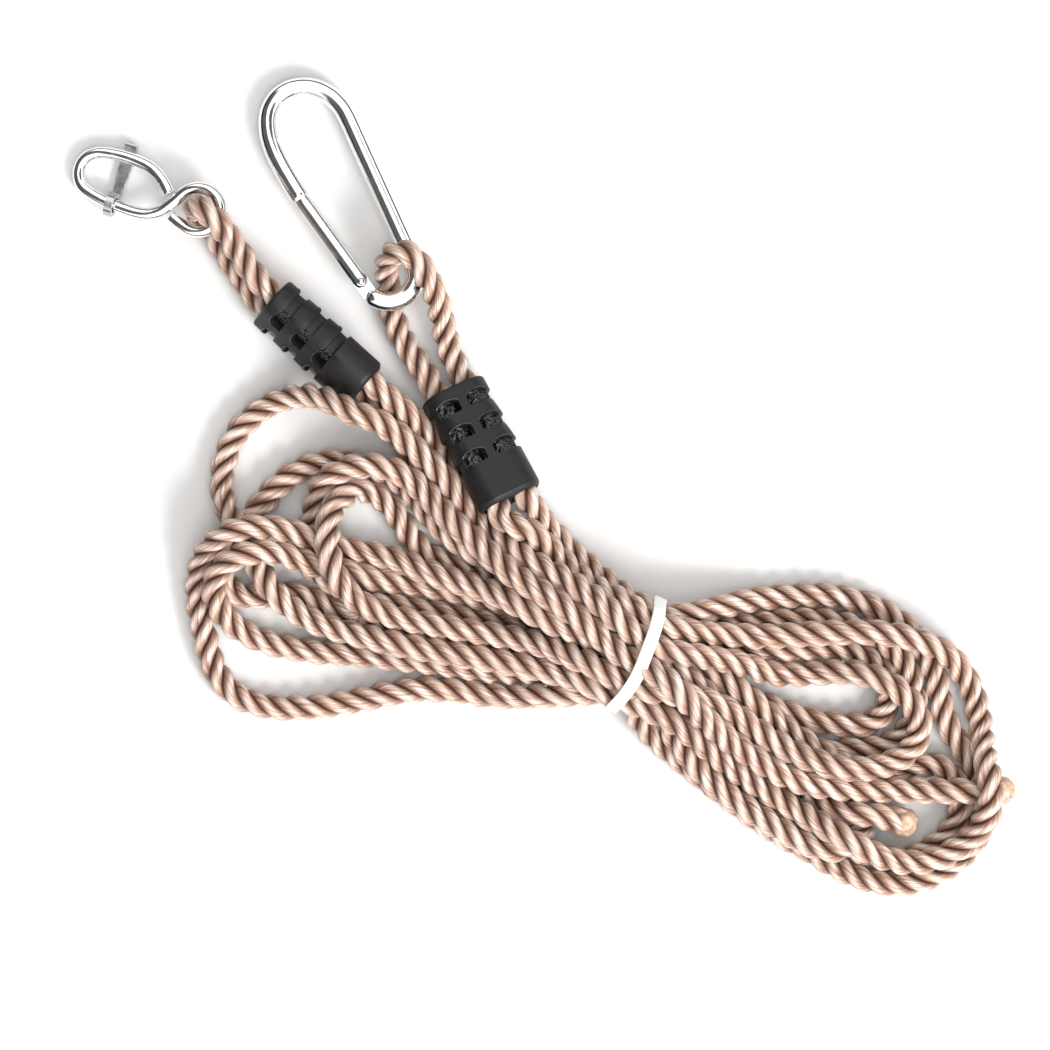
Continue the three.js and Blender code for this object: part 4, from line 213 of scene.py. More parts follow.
HOOK = np.array([
    -14152, 10971, 908, -14192, 11054, 896, -14231, 11139, 884, -14270, 11223, 872, -14310, 11306, 860, -14354, 11388, 847, -14403, 11467, 834,
    -14458, 11545, 819, -14517, 11622, 804, -14579, 11698, 789, -14644, 11770, 773, -14711, 11838, 758, -14779, 11899, 742, -14849, 11954, 726,
    -14920, 12002, 711, -14993, 12045, 696, -15069, 12085, 680, -15148, 12124, 664, -15230, 12162, 647, -15318, 12201, 630, -15410, 12238, 611,
    -15505, 12274, 592, -15602, 12308, 573, -15699, 12340, 555, -15794, 12369, 536, -15889, 12397, 518, -15985, 12422, 500, -16081, 12446, 481,
    -16176, 12467, 464, -16269, 12485, 446, -16358, 12501, 430, -16445, 12514, 414, -16530, 12527, 398, -16612, 12536, 383, -16692, 12542, 369,
    -16771, 12543, 355, -16847, 12538, 342, -16922, 12528, 330, -16996, 12513, 318, -17068, 12494, 306, -17137, 12469, 296, -17201, 12440, 286,
    -17261, 12407, 278, -17315, 12368, 271, -17366, 12323, 265, -17413, 12273, 260, -17455, 12220, 255, -17492, 12164, 252, -17524, 12106, 250,
    -17550, 12046, 249, -17572, 11981, 249, -17589, 11915, 251, -17601, 11846, 253, -17606, 11778, 256, -17606, 11711, 260, -17601, 11644, 265,
    -17589, 11576, 271, -17573, 11508, 278, -17550, 11441, 286, -17521, 11377, 295, -17486, 11317, 305, -17445, 11261, 315, -17398, 11210, 327,
    -17345, 11162, 339, -17285, 11114, 352, -17220, 11066, 366, -17148, 11016, 382, -17067, 10963, 399, -16978, 10908, 418, -16882, 10853, 438,
    -16783, 10798, 459, -16683, 10745, 480, -16584, 10696, 500, -16485, 10651, 520, -16385, 10607, 540, -16283, 10566, 560, -16181, 10526, 580,
    -16081, 10489, 600, -15982, 10452, 620, -15885, 10416, 639, -15789, 10381, 658, -15693, 10347, 677, -15599, 10316, 695, -15508, 10288, 713,
    -15418, 10264, 730, -15332, 10244, 746, -15249, 10226, 762, -15167, 10212, 777, -15087, 10202, 791, -15008, 10196, 805, -14930, 10196, 819,
    -14851, 10202, 832, -14772, 10214, 845, -14695, 10231, 858, -14619, 10251, 870, -14547, 10275, 881, -14479, 10302, 891, -14416, 10332, 900,
    -14357, 10366, 909, -14302, 10403, 916, -14249, 10443, 923, -14195, 10485, 930, -14140, 10527, 937, -14084, 10571, 944, -14027, 10618, 951,
    -13970, 10666, 958, -13913, 10714, 965, -13857, 10763, 972, -13802, 10809, 979, -13748, 10856, 985, -13696, 10904, 991, -13644, 10952, 997,
    -13592, 10997, 1004, -13539, 11038, 1011, -13482, 11072, 1018, -13423, 11101, 1027, -13363, 11125, 1036, -13300, 11146, 1046, -13237, 11161,
    1056, -13172, 11172, 1067, -13106, 11177, 1078, -13039, 11178, 1089, -12968, 11175, 1102, -12896, 11167, 1115, -12825, 11153, 1128, -12757,
    11134, 1141, -12693, 11110, 1154, -12633, 11079, 1166, -12574, 11041, 1179, -12519, 10998, 1191, -12466, 10950, 1203, -12417, 10899, 1215,
    -12373, 10847, 1226, -12333, 10791, 1236, -12294, 10731, 1246, -12260, 10668, 1256, -12231, 10603, 1265, -12208, 10537, 1273, -12193, 10471,
    1280, -12186, 10403, 1285, -12185, 10333, 1290, -12191, 10262, 1293, -12202, 10191, 1295, -12220, 10122, 1296, -12242, 10057, 1297, -12269, 9995,
    1296, -12303, 9933, 1293, -12342, 9874, 1290, -12386, 9818, 1286, -12434, 9766, 1281, -12486, 9719, 1274, -12543, 9676, 1267, -12605, 9637, 1259,
    -12672, 9601, 1249, -12741, 9571, 1239, -12811, 9547, 1228, -12881, 9531, 1217, -12951, 9522, 1205, -13024, 9520, 1193, -13098, 9524, 1179,
    -13172, 9534, 1166, -13244, 9549, 1152, -13313, 9568, 1139, -13379, 9594, 1126, -13442, 9627, 1113, -13504, 9664, 1100, -13565, 9705, 1087,
    -13627, 9749, 1074, -13689, 9794, 1060, -13753, 9841, 1046, -13816, 9892, 1032, -13880, 9945, 1017, -13944, 9999, 1003, -14009, 10053, 988,
    -14073, 10106, 974,
], float).reshape(-1, 3) * 0.01
WAIST = np.array([[-21.678, 17.139], [-17.784, 9.021], [-16.981, 7.976], [-15.935, 7.173], [-8.697, 2.55], [-7.479, 2.045], [-6.172, 1.873], [2.158, 1.23], [3.465, 1.402], [3.529, 1.421], [11.852, 4.206], [13.07, 4.71], [14.116, 5.513], [19.897, 12.15], [20.7, 13.196], [21.204, 14.414], [21.376, 15.721], [21.805, 24.574], [21.633, 25.881], [21.129, 27.099], [20.326, 28.145], [14.583, 35.116], [13.537, 35.919], [12.319, 36.423], [3.809, 39.086], [2.502, 39.258], [-6.471, 38.693], [-7.778, 38.521], [-8.996, 38.016], [-16.659, 33.233], [-17.705, 32.43], [-18.507, 31.384], [-19.012, 30.166], [-22.182, 20.971], [-22.354, 19.664], [-22.182, 18.357]], float)
WAIST_AT = np.array([33.785,-63.526,0.000])
WAIST_ALONG = np.array([0.90892,-0.41696,0.00000])
WAIST_ACROSS = np.array([-0.41696,-0.90892,0.00000])
NOSE = np.array([-92.154,108.091,8.361])
RIVET = np.array([-69.034,76.136,12.935])
GATE_DIR = np.array([0.58228,-0.80478,0.11519])
GATE_SIDE = np.array([0.81166,0.58355,-0.02594])
GATE_UP = np.array([-0.04634,0.10859,0.99301])
KEEPER_AT = np.array([-163.583,105.798,5.464])
KEEPER_DIR = np.array([0.30092,0.95363,-0.00537])
KEEPER_UP = np.array([-0.17163,0.05969,0.98335])
KEEPER_AXIS = np.array([0.93808,-0.29499,0.18163])


# ---------------------------------------------------------------- helpers
def unit(v):
    v = np.asarray(v, float)
    return v / np.linalg.norm(v, axis=-1, keepdims=True)


def arc(points):
    return np.concatenate([[0], np.cumsum(np.linalg.norm(np.diff(points, axis=0), axis=1))])


def hermite(points, at):
    """A smooth curve through the points, read at arc lengths."""
    s = arc(points)
    d = np.gradient(points, s, axis=0)
    i = np.clip(np.searchsorted(s, at, side="right") - 1, 0, len(s) - 2)
    h = (s[i + 1] - s[i])[:, None]
    t = ((at - s[i]) / h[:, 0])[:, None]
    return (
        (2 * t**3 - 3 * t**2 + 1) * points[i]
        + (t**3 - 2 * t**2 + t) * h * d[i]
        + (-2 * t**3 + 3 * t**2) * points[i + 1]
        + (t**3 - t**2) * h * d[i + 1]
    )


def frames(points, start=(0.0, 0.0, 1.0)):
    """Tangent, normal, binormal carried along without twist."""
    s = arc(points)
    t = unit(np.gradient(points, s, axis=0))
    n = np.zeros_like(t)
    v = np.array(start, float)
    v = v - t[0] * (v @ t[0])
    n[0] = v / np.linalg.norm(v)
    for i in range(1, len(t)):
        a = points[i] - points[i - 1]
        c1 = a @ a
        r = n[i - 1] - a * (2 * (a @ n[i - 1]) / c1)
        tl = t[i - 1] - a * (2 * (a @ t[i - 1]) / c1)
        b = t[i] - tl
        c2 = b @ b
        v = r - b * (2 * (b @ r) / c2) if c2 > 1e-18 else r
        v = v - t[i] * (v @ t[i])
        n[i] = v / np.linalg.norm(v)
    return t, n, np.cross(t, n)


def mesh_object(name, verts, faces, material, smooth=True, sharp=(), uv=None):
    me = bpy.data.meshes.new(name)
    me.from_pydata([tuple(v) for v in verts], [], [tuple(f) for f in faces])
    me.validate(clean_customdata=False)
    me.polygons.foreach_set("use_smooth", [smooth] * len(me.polygons))
    if uv is not None:
        layer = me.uv_layers.new(name="UVMap")
        loops = np.zeros(len(me.loops), np.int32)
        me.loops.foreach_get("vertex_index", loops)
        layer.data.foreach_set("uv", np.asarray(uv(me, loops), np.float32).ravel())
    me.update()
    ob = bpy.data.objects.new(name, me)
    bpy.context.scene.collection.objects.link(ob)
    me.materials.append(material)
    if len(sharp):
        keys = np.zeros(len(me.edges) * 2, np.int32)
        me.edges.foreach_get("vertices", keys)
        keys = np.sort(keys.reshape(-1, 2), axis=1)
        code = keys[:, 0].astype(np.int64) * 10_000_000 + keys[:, 1]
        want = np.sort(np.asarray(sharp, np.int64).reshape(-1, 2), axis=1)
        mark = np.isin(code, want[:, 0] * 10_000_000 + want[:, 1])
        att = me.attributes.get("sharp_edge") or me.attributes.new("sharp_edge", "BOOLEAN", "EDGE")
        att.data.foreach_set("value", mark)
    return ob


def recalc(ob):
    """Outward faces all over a closed mesh."""
    import bmesh

    bm = bmesh.new()
    bm.from_mesh(ob.data)
    bmesh.ops.recalc_face_normals(bm, faces=bm.faces)
    bm.to_mesh(ob.data)
    bm.free()


def soften(ob, width, segments=3, angle=35):
    """Rounded edges, as bevel and weighted-normal modifiers."""
    m = ob.modifiers.new("round", "BEVEL")
    m.width = width
    m.segments = segments
    m.limit_method = "ANGLE"
    m.angle_limit = math.radians(angle)
    m.harden_normals = False
    m.use_clamp_overlap = True
    n = ob.modifiers.new("shade", "WEIGHTED_NORMAL")
    n.keep_sharp = True
    return ob


# ---------------------------------------------------------------- materials
def nodes(name):
    m = bpy.data.materials.new(name)
    m.use_nodes = True
    t = m.node_tree
    return m, t, t.nodes["Principled BSDF"]


def ramp(t, fac, stops):
    r = t.nodes.new("ShaderNodeValToRGB")
    e = r.color_ramp.elements
    while len(e) < len(stops):
        e.new(0.5)
    for x, (p, c) in zip(e, stops):
        x.position = p
        x.color = (*c, 1.0)
    t.links.new(fac, r.inputs["Fac"])
    return r


def math_node(t, op, a, b=None, c=None, clamp=False):
    n = t.nodes.new("ShaderNodeMath")
    n.operation = op
    n.use_clamp = clamp
    for i, v in enumerate((a, b, c)):
        if v is None:
            continue
        if isinstance(v, (int, float)):
            n.inputs[i].default_value = v
        else:
            t.links.new(v, n.inputs[i])
    return n.outputs[0]


def noise(t, vector, scale, detail=3.0, rough=0.55):
    n = t.nodes.new("ShaderNodeTexNoise")
    n.inputs["Scale"].default_value = scale
    n.inputs["Detail"].default_value = detail
    n.inputs["Roughness"].default_value = rough
    if vector is not None:
        t.links.new(vector, n.inputs["Vector"])
    return n


def mix_color(t, fac, a, b, blend="MIX"):
    n = t.nodes.new("ShaderNodeMix")
    n.data_type = "RGBA"
    n.blend_type = blend
    n.clamp_factor = True
    for sock, v in ((n.inputs[0], fac), (n.inputs[6], a), (n.inputs[7], b)):
        if isinstance(v, (int, float)):
            sock.default_value = v
        elif isinstance(v, tuple):
            sock.default_value = (*v, 1.0)
        else:
            t.links.new(v, sock)
    return n.outputs[2]


def bump(t, height, strength, distance, bsdf, normal=None):
    b = t.nodes.new("ShaderNodeBump")
    b.inputs["Strength"].default_value = strength
    b.inputs["Distance"].default_value = distance
    t.links.new(height, b.inputs["Height"])
    if normal is not None:
        t.links.new(normal, b.inputs["Normal"])
    if bsdf is not None:
        t.links.new(b.outputs["Normal"], bsdf.inputs["Normal"])
    return b.outputs["Normal"]


def rope_material():
    """Glossy laid fibre. U is mm across a strand from its crown, V is mm along the rope."""
    m, t, b = nodes("laid_rope")
    uv = t.nodes.new("ShaderNodeUVMap")
    uv.uv_map = "UVMap"
    sep = t.nodes.new("ShaderNodeSeparateXYZ")
    t.links.new(uv.outputs[0], sep.inputs[0])
    u, v = sep.outputs[0], sep.outputs[1]
    # yarns run nearly along the rope, against the lay of the strands
    lane = math_node(t, "ADD", u, math_node(t, "MULTIPLY", v, 1.0))
    wob = t.nodes.new("ShaderNodeCombineXYZ")
    t.links.new(math_node(t, "MULTIPLY", lane, 0.9), wob.inputs[0])
    t.links.new(math_node(t, "MULTIPLY", v, 0.055), wob.inputs[1])
    drift = noise(t, wob.outputs[0], 1.0, 2.0)
    lane2 = math_node(t, "ADD", lane, math_node(t, "MULTIPLY", drift.outputs["Fac"], 0.8))
    phase = math_node(t, "MULTIPLY", lane2, 3.14159 / 0.78)
    yarn = math_node(t, "ABSOLUTE", math_node(t, "SINE", phase))
    # fine fibres inside a yarn
    fib = t.nodes.new("ShaderNodeCombineXYZ")
    t.links.new(math_node(t, "MULTIPLY", lane2, 6.0), fib.inputs[0])
    t.links.new(math_node(t, "MULTIPLY", v, 0.22), fib.inputs[1])
    fibre = noise(t, fib.outputs[0], 1.0, 3.0, 0.65)
    # random streaks of tone along the yarns, whose near-white streaks are a painted highlight, and slow change along
    # the rope
    stk = t.nodes.new("ShaderNodeCombineXYZ")
    t.links.new(math_node(t, "MULTIPLY", lane2, 1.15), stk.inputs[0])
    t.links.new(math_node(t, "MULTIPLY", v, 0.07), stk.inputs[1])
    streak = noise(t, stk.outputs[0], 1.0, 2.0)
    slow = t.nodes.new("ShaderNodeCombineXYZ")
    t.links.new(math_node(t, "MULTIPLY", v, 0.02), slow.inputs[0])
    patch = noise(t, slow.outputs[0], 1.0, 2.0)
    # streak tone from dark brown to near-white cream: partly the rope's random tone, its brightest end a painted
    # highlight
    crown = ramp(
        t, streak.outputs["Fac"],
        [(0.28, (0.33, 0.175, 0.12)), (0.42, (0.61, 0.43, 0.335)), (0.56, (0.80, 0.66, 0.57)), (0.68, (0.98, 0.945, 0.90))],
    )
    tone = ramp(t, patch.outputs["Fac"], [(0.35, (0.80, 0.75, 0.73)), (0.65, (1.0, 1.0, 1.0))])
    col = mix_color(t, 1.0, crown.outputs[0], tone.outputs[0], "MULTIPLY")
    # painted shade: darker brown down the strand sides toward the creases where strands meet
    edge = math_node(t, "ABSOLUTE", u)
    side = t.nodes.new("ShaderNodeMapRange")
    side.interpolation_type = "SMOOTHSTEP"
    side.inputs["From Min"].default_value = 0.9
    side.inputs["From Max"].default_value = 3.4
    t.links.new(edge, side.inputs["Value"])
    painted_side_shade = mix_color(t, side.outputs[0], (1.0, 1.0, 1.0), (0.54, 0.41, 0.35))
    col = mix_color(t, 1.0, col, painted_side_shade, "MULTIPLY")
    # painted shade: near-black brown in the crease itself
    painted_crease_shade = t.nodes.new("ShaderNodeMapRange")
    painted_crease_shade.interpolation_type = "SMOOTHSTEP"
    painted_crease_shade.inputs["From Min"].default_value = 3.3
    painted_crease_shade.inputs["From Max"].default_value = 4.9
    t.links.new(edge, painted_crease_shade.inputs["Value"])
    col = mix_color(t, painted_crease_shade.outputs[0], col, (0.070, 0.026, 0.014))
    # painted shade in the fine gaps between yarns
    gap = math_node(t, "SUBTRACT", 1.0, yarn)
    gap = math_node(t, "POWER", gap, 3.0)
    col = mix_color(t, math_node(t, "MULTIPLY", gap, 0.62), col, (0.25, 0.13, 0.085))
    t.links.new(col, b.inputs["Base Color"])
    rough = ramp(t, fibre.outputs["Fac"], [(0.3, (0.32, 0.32, 0.32)), (0.7, (0.52, 0.52, 0.52))])
    t.links.new(rough.outputs[0], b.inputs["Roughness"])
    b.inputs["Specular IOR Level"].default_value = 0.55
    b.inputs["Sheen Weight"].default_value = 0.12
    b.inputs["Sheen Roughness"].default_value = 0.4
    n1 = bump(t, yarn, 0.75, 0.00016, None)
    bump(t, fibre.outputs["Fac"], 0.35, 0.00008, b, n1)
    return m


def tip_material():
    """Rope end melted to a tan crust."""
    m, t, b = nodes("fused_end")
    co = t.nodes.new("ShaderNodeTexCoord")
    a = noise(t, co.outputs["Object"], 420.0, 4.0, 0.6)
    c = ramp(t, a.outputs["Fac"], [(0.3, (0.30, 0.175, 0.105)), (0.5, (0.50, 0.335, 0.225)), (0.7, (0.68, 0.51, 0.38))])
    t.links.new(c.outputs[0], b.inputs["Base Color"])
    b.inputs["Roughness"].default_value = 0.5
    bump(t, a.outputs["Fac"], 0.8, 0.0005, b)
    return m


def steel_material(name, base=(0.80, 0.81, 0.82), low=0.06, high=0.2, scratch=0.12):
    """Bright plated steel with fine drawing marks and a little wear."""
    m, t, b = nodes(name)
    co = t.nodes.new("ShaderNodeTexCoord")
    a = noise(t, co.outputs["Object"], 260.0, 4.0, 0.6)
    fine = noise(t, co.outputs["Object"], 2600.0, 2.0, 0.5)
    c = ramp(t, a.outputs["Fac"], [(0.3, tuple(x * 0.90 for x in base)), (0.55, base), (0.8, tuple(min(1, x * 1.08) for x in base))])
    t.links.new(c.outputs[0], b.inputs["Base Color"])
    b.inputs["Metallic"].default_value = 1.0
    r = ramp(t, a.outputs["Fac"], [(0.35, (low,) * 3), (0.75, (high,) * 3)])
    t.links.new(r.outputs[0], b.inputs["Roughness"])
    bump(t, fine.outputs["Fac"], scratch, 0.00003, b)
    return m


def plastic_material(name, base, low, high, grain=0.25, lumps=0.0):
    m, t, b = nodes(name)
    co = t.nodes.new("ShaderNodeTexCoord")
    a = noise(t, co.outputs["Object"], 180.0, 4.0, 0.6)
    fine = noise(t, co.outputs["Object"], 1900.0, 3.0, 0.6)
    c = ramp(t, a.outputs["Fac"], [(0.3, tuple(x * 0.7 for x in base)), (0.7, tuple(x * 1.35 for x in base))])
    t.links.new(c.outputs[0], b.inputs["Base Color"])
    r = ramp(t, a.outputs["Fac"], [(0.3, (low,) * 3), (0.7, (high,) * 3)])
    t.links.new(r.outputs[0], b.inputs["Roughness"])
    b.inputs["Specular IOR Level"].default_value = 0.6 if lumps else 0.4
    n = None
    if lumps:
        big = noise(t, co.outputs["Object"], 620.0, 1.0, 0.4)
        n = bump(t, big.outputs["Fac"], 1.0, lumps, None)
    bump(t, fine.outputs["Fac"], grain, 0.00008, b, n)
    return m


def band_material():
    m, t, b = nodes("white_tie")
    co = t.nodes.new("ShaderNodeTexCoord")
    a = noise(t, co.outputs["Object"], 220.0, 3.0, 0.6)
    c = ramp(t, a.outputs["Fac"], [(0.3, (0.86, 0.86, 0.85)), (0.7, (0.97, 0.97, 0.96))])
    t.links.new(c.outputs[0], b.inputs["Base Color"])
    b.inputs["Roughness"].default_value = 0.38
    b.inputs["Subsurface Weight"].default_value = 0.35
    b.inputs["Subsurface Radius"].default_value = (0.002, 0.002, 0.002)
    b.inputs["Subsurface Scale"].default_value = 1.0
    bump(t, a.outputs["Fac"], 0.25, 0.0003, b)
    return m


ROPE = rope_material()
TIP = tip_material()
STEEL = steel_material("bright_plated_steel", base=(0.90, 0.905, 0.91))
STEEL_GATE = steel_material("bright_plated_gate", base=(0.89, 0.895, 0.90), low=0.08, high=0.20)
STEEL_DARK = steel_material("pressed_strip_steel", base=(0.56, 0.56, 0.57), low=0.20, high=0.36, scratch=0.35)
STEEL_PIN = steel_material("pin_steel", base=(0.60, 0.61, 0.62), low=0.18, high=0.34)
WIRE = steel_material("spring_wire_steel", base=(0.55, 0.56, 0.57), low=0.22, high=0.38)
BLACK = plastic_material("moulded_black", (0.0062, 0.0056, 0.0062), 0.42, 0.60)
# a lighter copy of the moulded black for the window beads: painted highlight along the lips
BLACK_LIP_HIGHLIGHT = plastic_material("moulded_black_edge_painted_highlight", (0.03, 0.029, 0.031), 0.20, 0.32, 0.1)
BLACK_GLOSS = plastic_material("moulded_black_recess", (0.005, 0.005, 0.0055), 0.06, 0.14, 0.05, lumps=0.0011)
BAND = band_material()

# ---------------------------------------------------------------- laid rope
LAY = 24.5
OFFSET = 2.53
STRAND = 2.53
PER = 12
RING = 1.35

_rho = (OFFSET + math.sqrt(OFFSET**2 - 4 * (OFFSET**2 - STRAND**2))) / 2
_ang = math.atan2(_rho * math.sin(math.pi / 3), _rho * math.cos(math.pi / 3) - OFFSET)
# points of one strand's visible arc, the crease points shared by neighbours
ARC = np.linspace(-_ang, _ang, PER + 1)[:-1]

S_ALL = arc(ROUTE)
TOTAL = S_ALL[-1]
_fine = np.arange(0, TOTAL + 0.5, 1.0)
_fine = _fine * (TOTAL / _fine[-1])
LINE = hermite(ROUTE, _fine)
LT, LN, LB = frames(LINE)
LS = arc(LINE)
LS = LS * (TOTAL / LS[-1])


def at(s):
    """Centre and frame of the rope at arc length s."""
    out = []
    for a in (LINE, LT, LN, LB):
        out.append(np.stack([np.interp(s, LS, a[:, k]) for k in range(3)], axis=-1))
    p, t, n, b = out
    t = unit(t)
    n = n - t * np.sum(n * t, axis=-1, keepdims=True)
    n = unit(n)
    return p, t, n, np.cross(t, n)


def section(phase, tight):
    """Ring of the three-strand outline: local x, y, across-strand mm."""
    xs, ys, us = [], [], []
    for k in range(3):
        a0 = phase + k * 2 * math.pi / 3
        x = OFFSET + STRAND * np.cos(ARC)
        y = STRAND * np.sin(ARC)
        xs.append(x * math.cos(a0) - y * math.sin(a0))
        ys.append(x * math.sin(a0) + y * math.cos(a0))
        us.append(ARC * STRAND)
    return np.concatenate(xs) * tight, np.concatenate(ys) * tight, np.concatenate(us)


def rope_piece(name, s0, s1, body=None, blend=None, cap0=None, cap1=None):
    n = max(2, int(round((s1 - s0) / RING)))
    ss = np.linspace(s0, s1, n + 1)
    p, t, nn, bb = at(ss)
    # slow unevenness of the lay
    twist = 2 * math.pi * ss / LAY + 0.22 * np.sin(ss / 61.0) + 0.15 * np.sin(ss / 23.7 + 1.3)
    size = 1.0 + 0.014 * np.sin(ss / 17.3) + 0.012 * np.sin(ss / 41.0 + 2.0)
    verts, uvs = [], []
    m = 3 * PER
    for i in range(n + 1):
        x, y, u = section(twist[i], size[i])
        verts.append(p[i] + np.outer(x, nn[i]) + np.outer(y, bb[i]))
        uvs.append(np.stack([u, np.full(m, ss[i])], axis=1))
    verts = np.concatenate(verts)
    idx = np.arange(m)
    nxt = (idx + 1) % m
    faces = []
    for i in range(n):
        a, b = i * m, (i + 1) * m
        faces.append(np.stack([a + idx, a + nxt, b + nxt, b + idx], axis=1))
    faces = np.concatenate(faces).tolist()
    sharp = []
    for k in range(3):
        c = np.arange(n) * m + k * PER
        sharp.append(np.stack([c, c + m], axis=1))
    sharp = np.concatenate(sharp)
    vu = np.concatenate(uvs)
    extra = []
    for end, ring in ((0, 0), (1, n)):
        base = ring * m
        centre = p[ring]
        extra.append(centre)
        c = len(verts) + len(extra) - 1
        for j in range(m):
            q = (base + idx[j], base + nxt[j], c)
            faces.append(q if end else q[::-1])
    allv = np.concatenate([verts, np.array(extra)])
    vu = np.concatenate([vu, np.array([[0.0, s0], [0.0, s1]])])

    # a corner at the crease belongs to the strand on its side
    top = 2.0 * _ang * STRAND

    def uv(me, loops):
        out = vu[loops].copy()
        starts = np.zeros(len(me.polygons), np.int32)
        totals = np.zeros(len(me.polygons), np.int32)
        me.polygons.foreach_get("loop_start", starts)
        me.polygons.foreach_get("loop_total", totals)
        quads = totals == 4
        s = starts[quads][:, None] + np.arange(4)[None, :]
        uu = out[s.ravel(), 0].reshape(-1, 4)
        wide = (uu.max(1) - uu.min(1)) > STRAND * _ang
        low = uu < 0
        uu = np.where(wide[:, None] & low, uu + top, uu)
        out[s.ravel(), 0] = uu.ravel()
        return out

    ob = mesh_object(name, allv * MM, faces, ROPE, sharp=sharp, uv=uv)
    path = at(np.linspace(s0, s1, max(8, int((s1 - s0) / 4))))[0] * MM
    if body:
        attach(ob, body)
    if blend:
        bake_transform(ob)
    return ob, path


def fused_tip(name, s_end, direction, body, radius=5.0, length=4.2, seed=0):
    """The melted crust over the cut end of the rope."""
    p, t, n, b = (v[0] for v in at(np.array([s_end])))
    d = t * direction
    rings, m = 15, 30
    rng = np.random.default_rng(seed)
    ph = rng.random(6) * 6.28
    verts = []
    prof = []
    for i in range(rings):
        a = i / (rings - 1)
        if a < 0.35:
            w = a / 0.35
            prof.append((-4.4 + 4.4 * w, radius * (0.86 + 0.20 * math.sin(w * math.pi / 2))))
        else:
            w = (a - 0.35) / 0.65
            th = w * math.pi / 2
            prof.append((length * math.sin(th) ** 1.25, radius * 1.06 * max(0.05, math.cos(th)) ** 0.7))
    for z, r in prof:
        for j in range(m):
            f = 2 * math.pi * j / m
            k = 1 + 0.055 * math.sin(3 * f + ph[0] + z * 0.3) + 0.04 * math.sin(5 * f + ph[1] + z) + 0.02 * math.sin(9 * f + ph[2] - z)
            verts.append(p + d * (z + 0.35 * math.sin(2 * f + ph[3]) * (z > 0)) + (n * math.cos(f) + b * math.sin(f)) * r * k)
    faces = []
    for i in range(rings - 1):
        for j in range(m):
            k = (j + 1) % m
            faces.append((i * m + j, i * m + k, (i + 1) * m + k, (i + 1) * m + j))
    c0, c1 = len(verts), len(verts) + 1
    verts += [p + d * prof[0][0], p + d * (prof[-1][0] + 0.15)]
    for j in range(m):
        k = (j + 1) % m
        faces.append((c0, k, j))
        faces.append((c1, (rings - 1) * m + j, (rings - 1) * m + k))
    ob = mesh_object(name, np.array(verts) * MM, faces, TIP)
    recalc(ob)
    s = ob.modifiers.new("smooth", "SUBSURF")
    s.levels = s.render_levels = 1
    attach(ob, body)
    return ob


IN = 15.5  # how far into an adjuster a loop's own piece begins
H2A, H2B = HINGE["2_-1"] - IN, HINGE["2_1"] + IN
H1A, H1B = HINGE["1_1"] - IN, HINGE["1_-1"] + IN


def bend_span(k, reach=9.0):
    a = ADJ[k - 1]
    d = np.array(a["along"])
    mid = np.array(a["mouth"]) + d * -11.5
    return tuple((mid + d * reach * 0.25) * MM), tuple((mid - d * reach) * MM)


TIP_IN = 4.0
piece_b, path_b = rope_piece("rope_run_tail_b", TIP_IN, H2A, body="hank")
s2, e2 = bend_span(2)
piece_2, path_2 = rope_piece("rope_loop_carabiner", H2A, H2B, blend=("hank", "carabiner_eye", s2, e2))
piece_m, path_m = rope_piece("rope_run_middle", H2B, H1A, body="hank")
s1, e1 = bend_span(1)
piece_1, path_1 = rope_piece("rope_loop_hook", H1A, H1B, blend=("hank", "hook_eye", s1, e1))
piece_a, path_a = rope_piece("rope_run_tail_a", H1B, TOTAL - TIP_IN, body="hank")
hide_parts("rope_hank", "rope_tail_b")
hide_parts("rope_eye_carabiner", "rope_leg_2a", "rope_leg_2b")
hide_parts("rope_eye_hook", "rope_leg_1a", "rope_leg_1b")
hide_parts("rope_tail_a")
tip_b = fused_tip("rope_fused_end_b", TIP_IN, -1, "hank", seed=3)
tip_a = fused_tip("rope_fused_end_a", TOTAL - TIP_IN, 1, "hank", radius=5.2, length=4.6, seed=8)


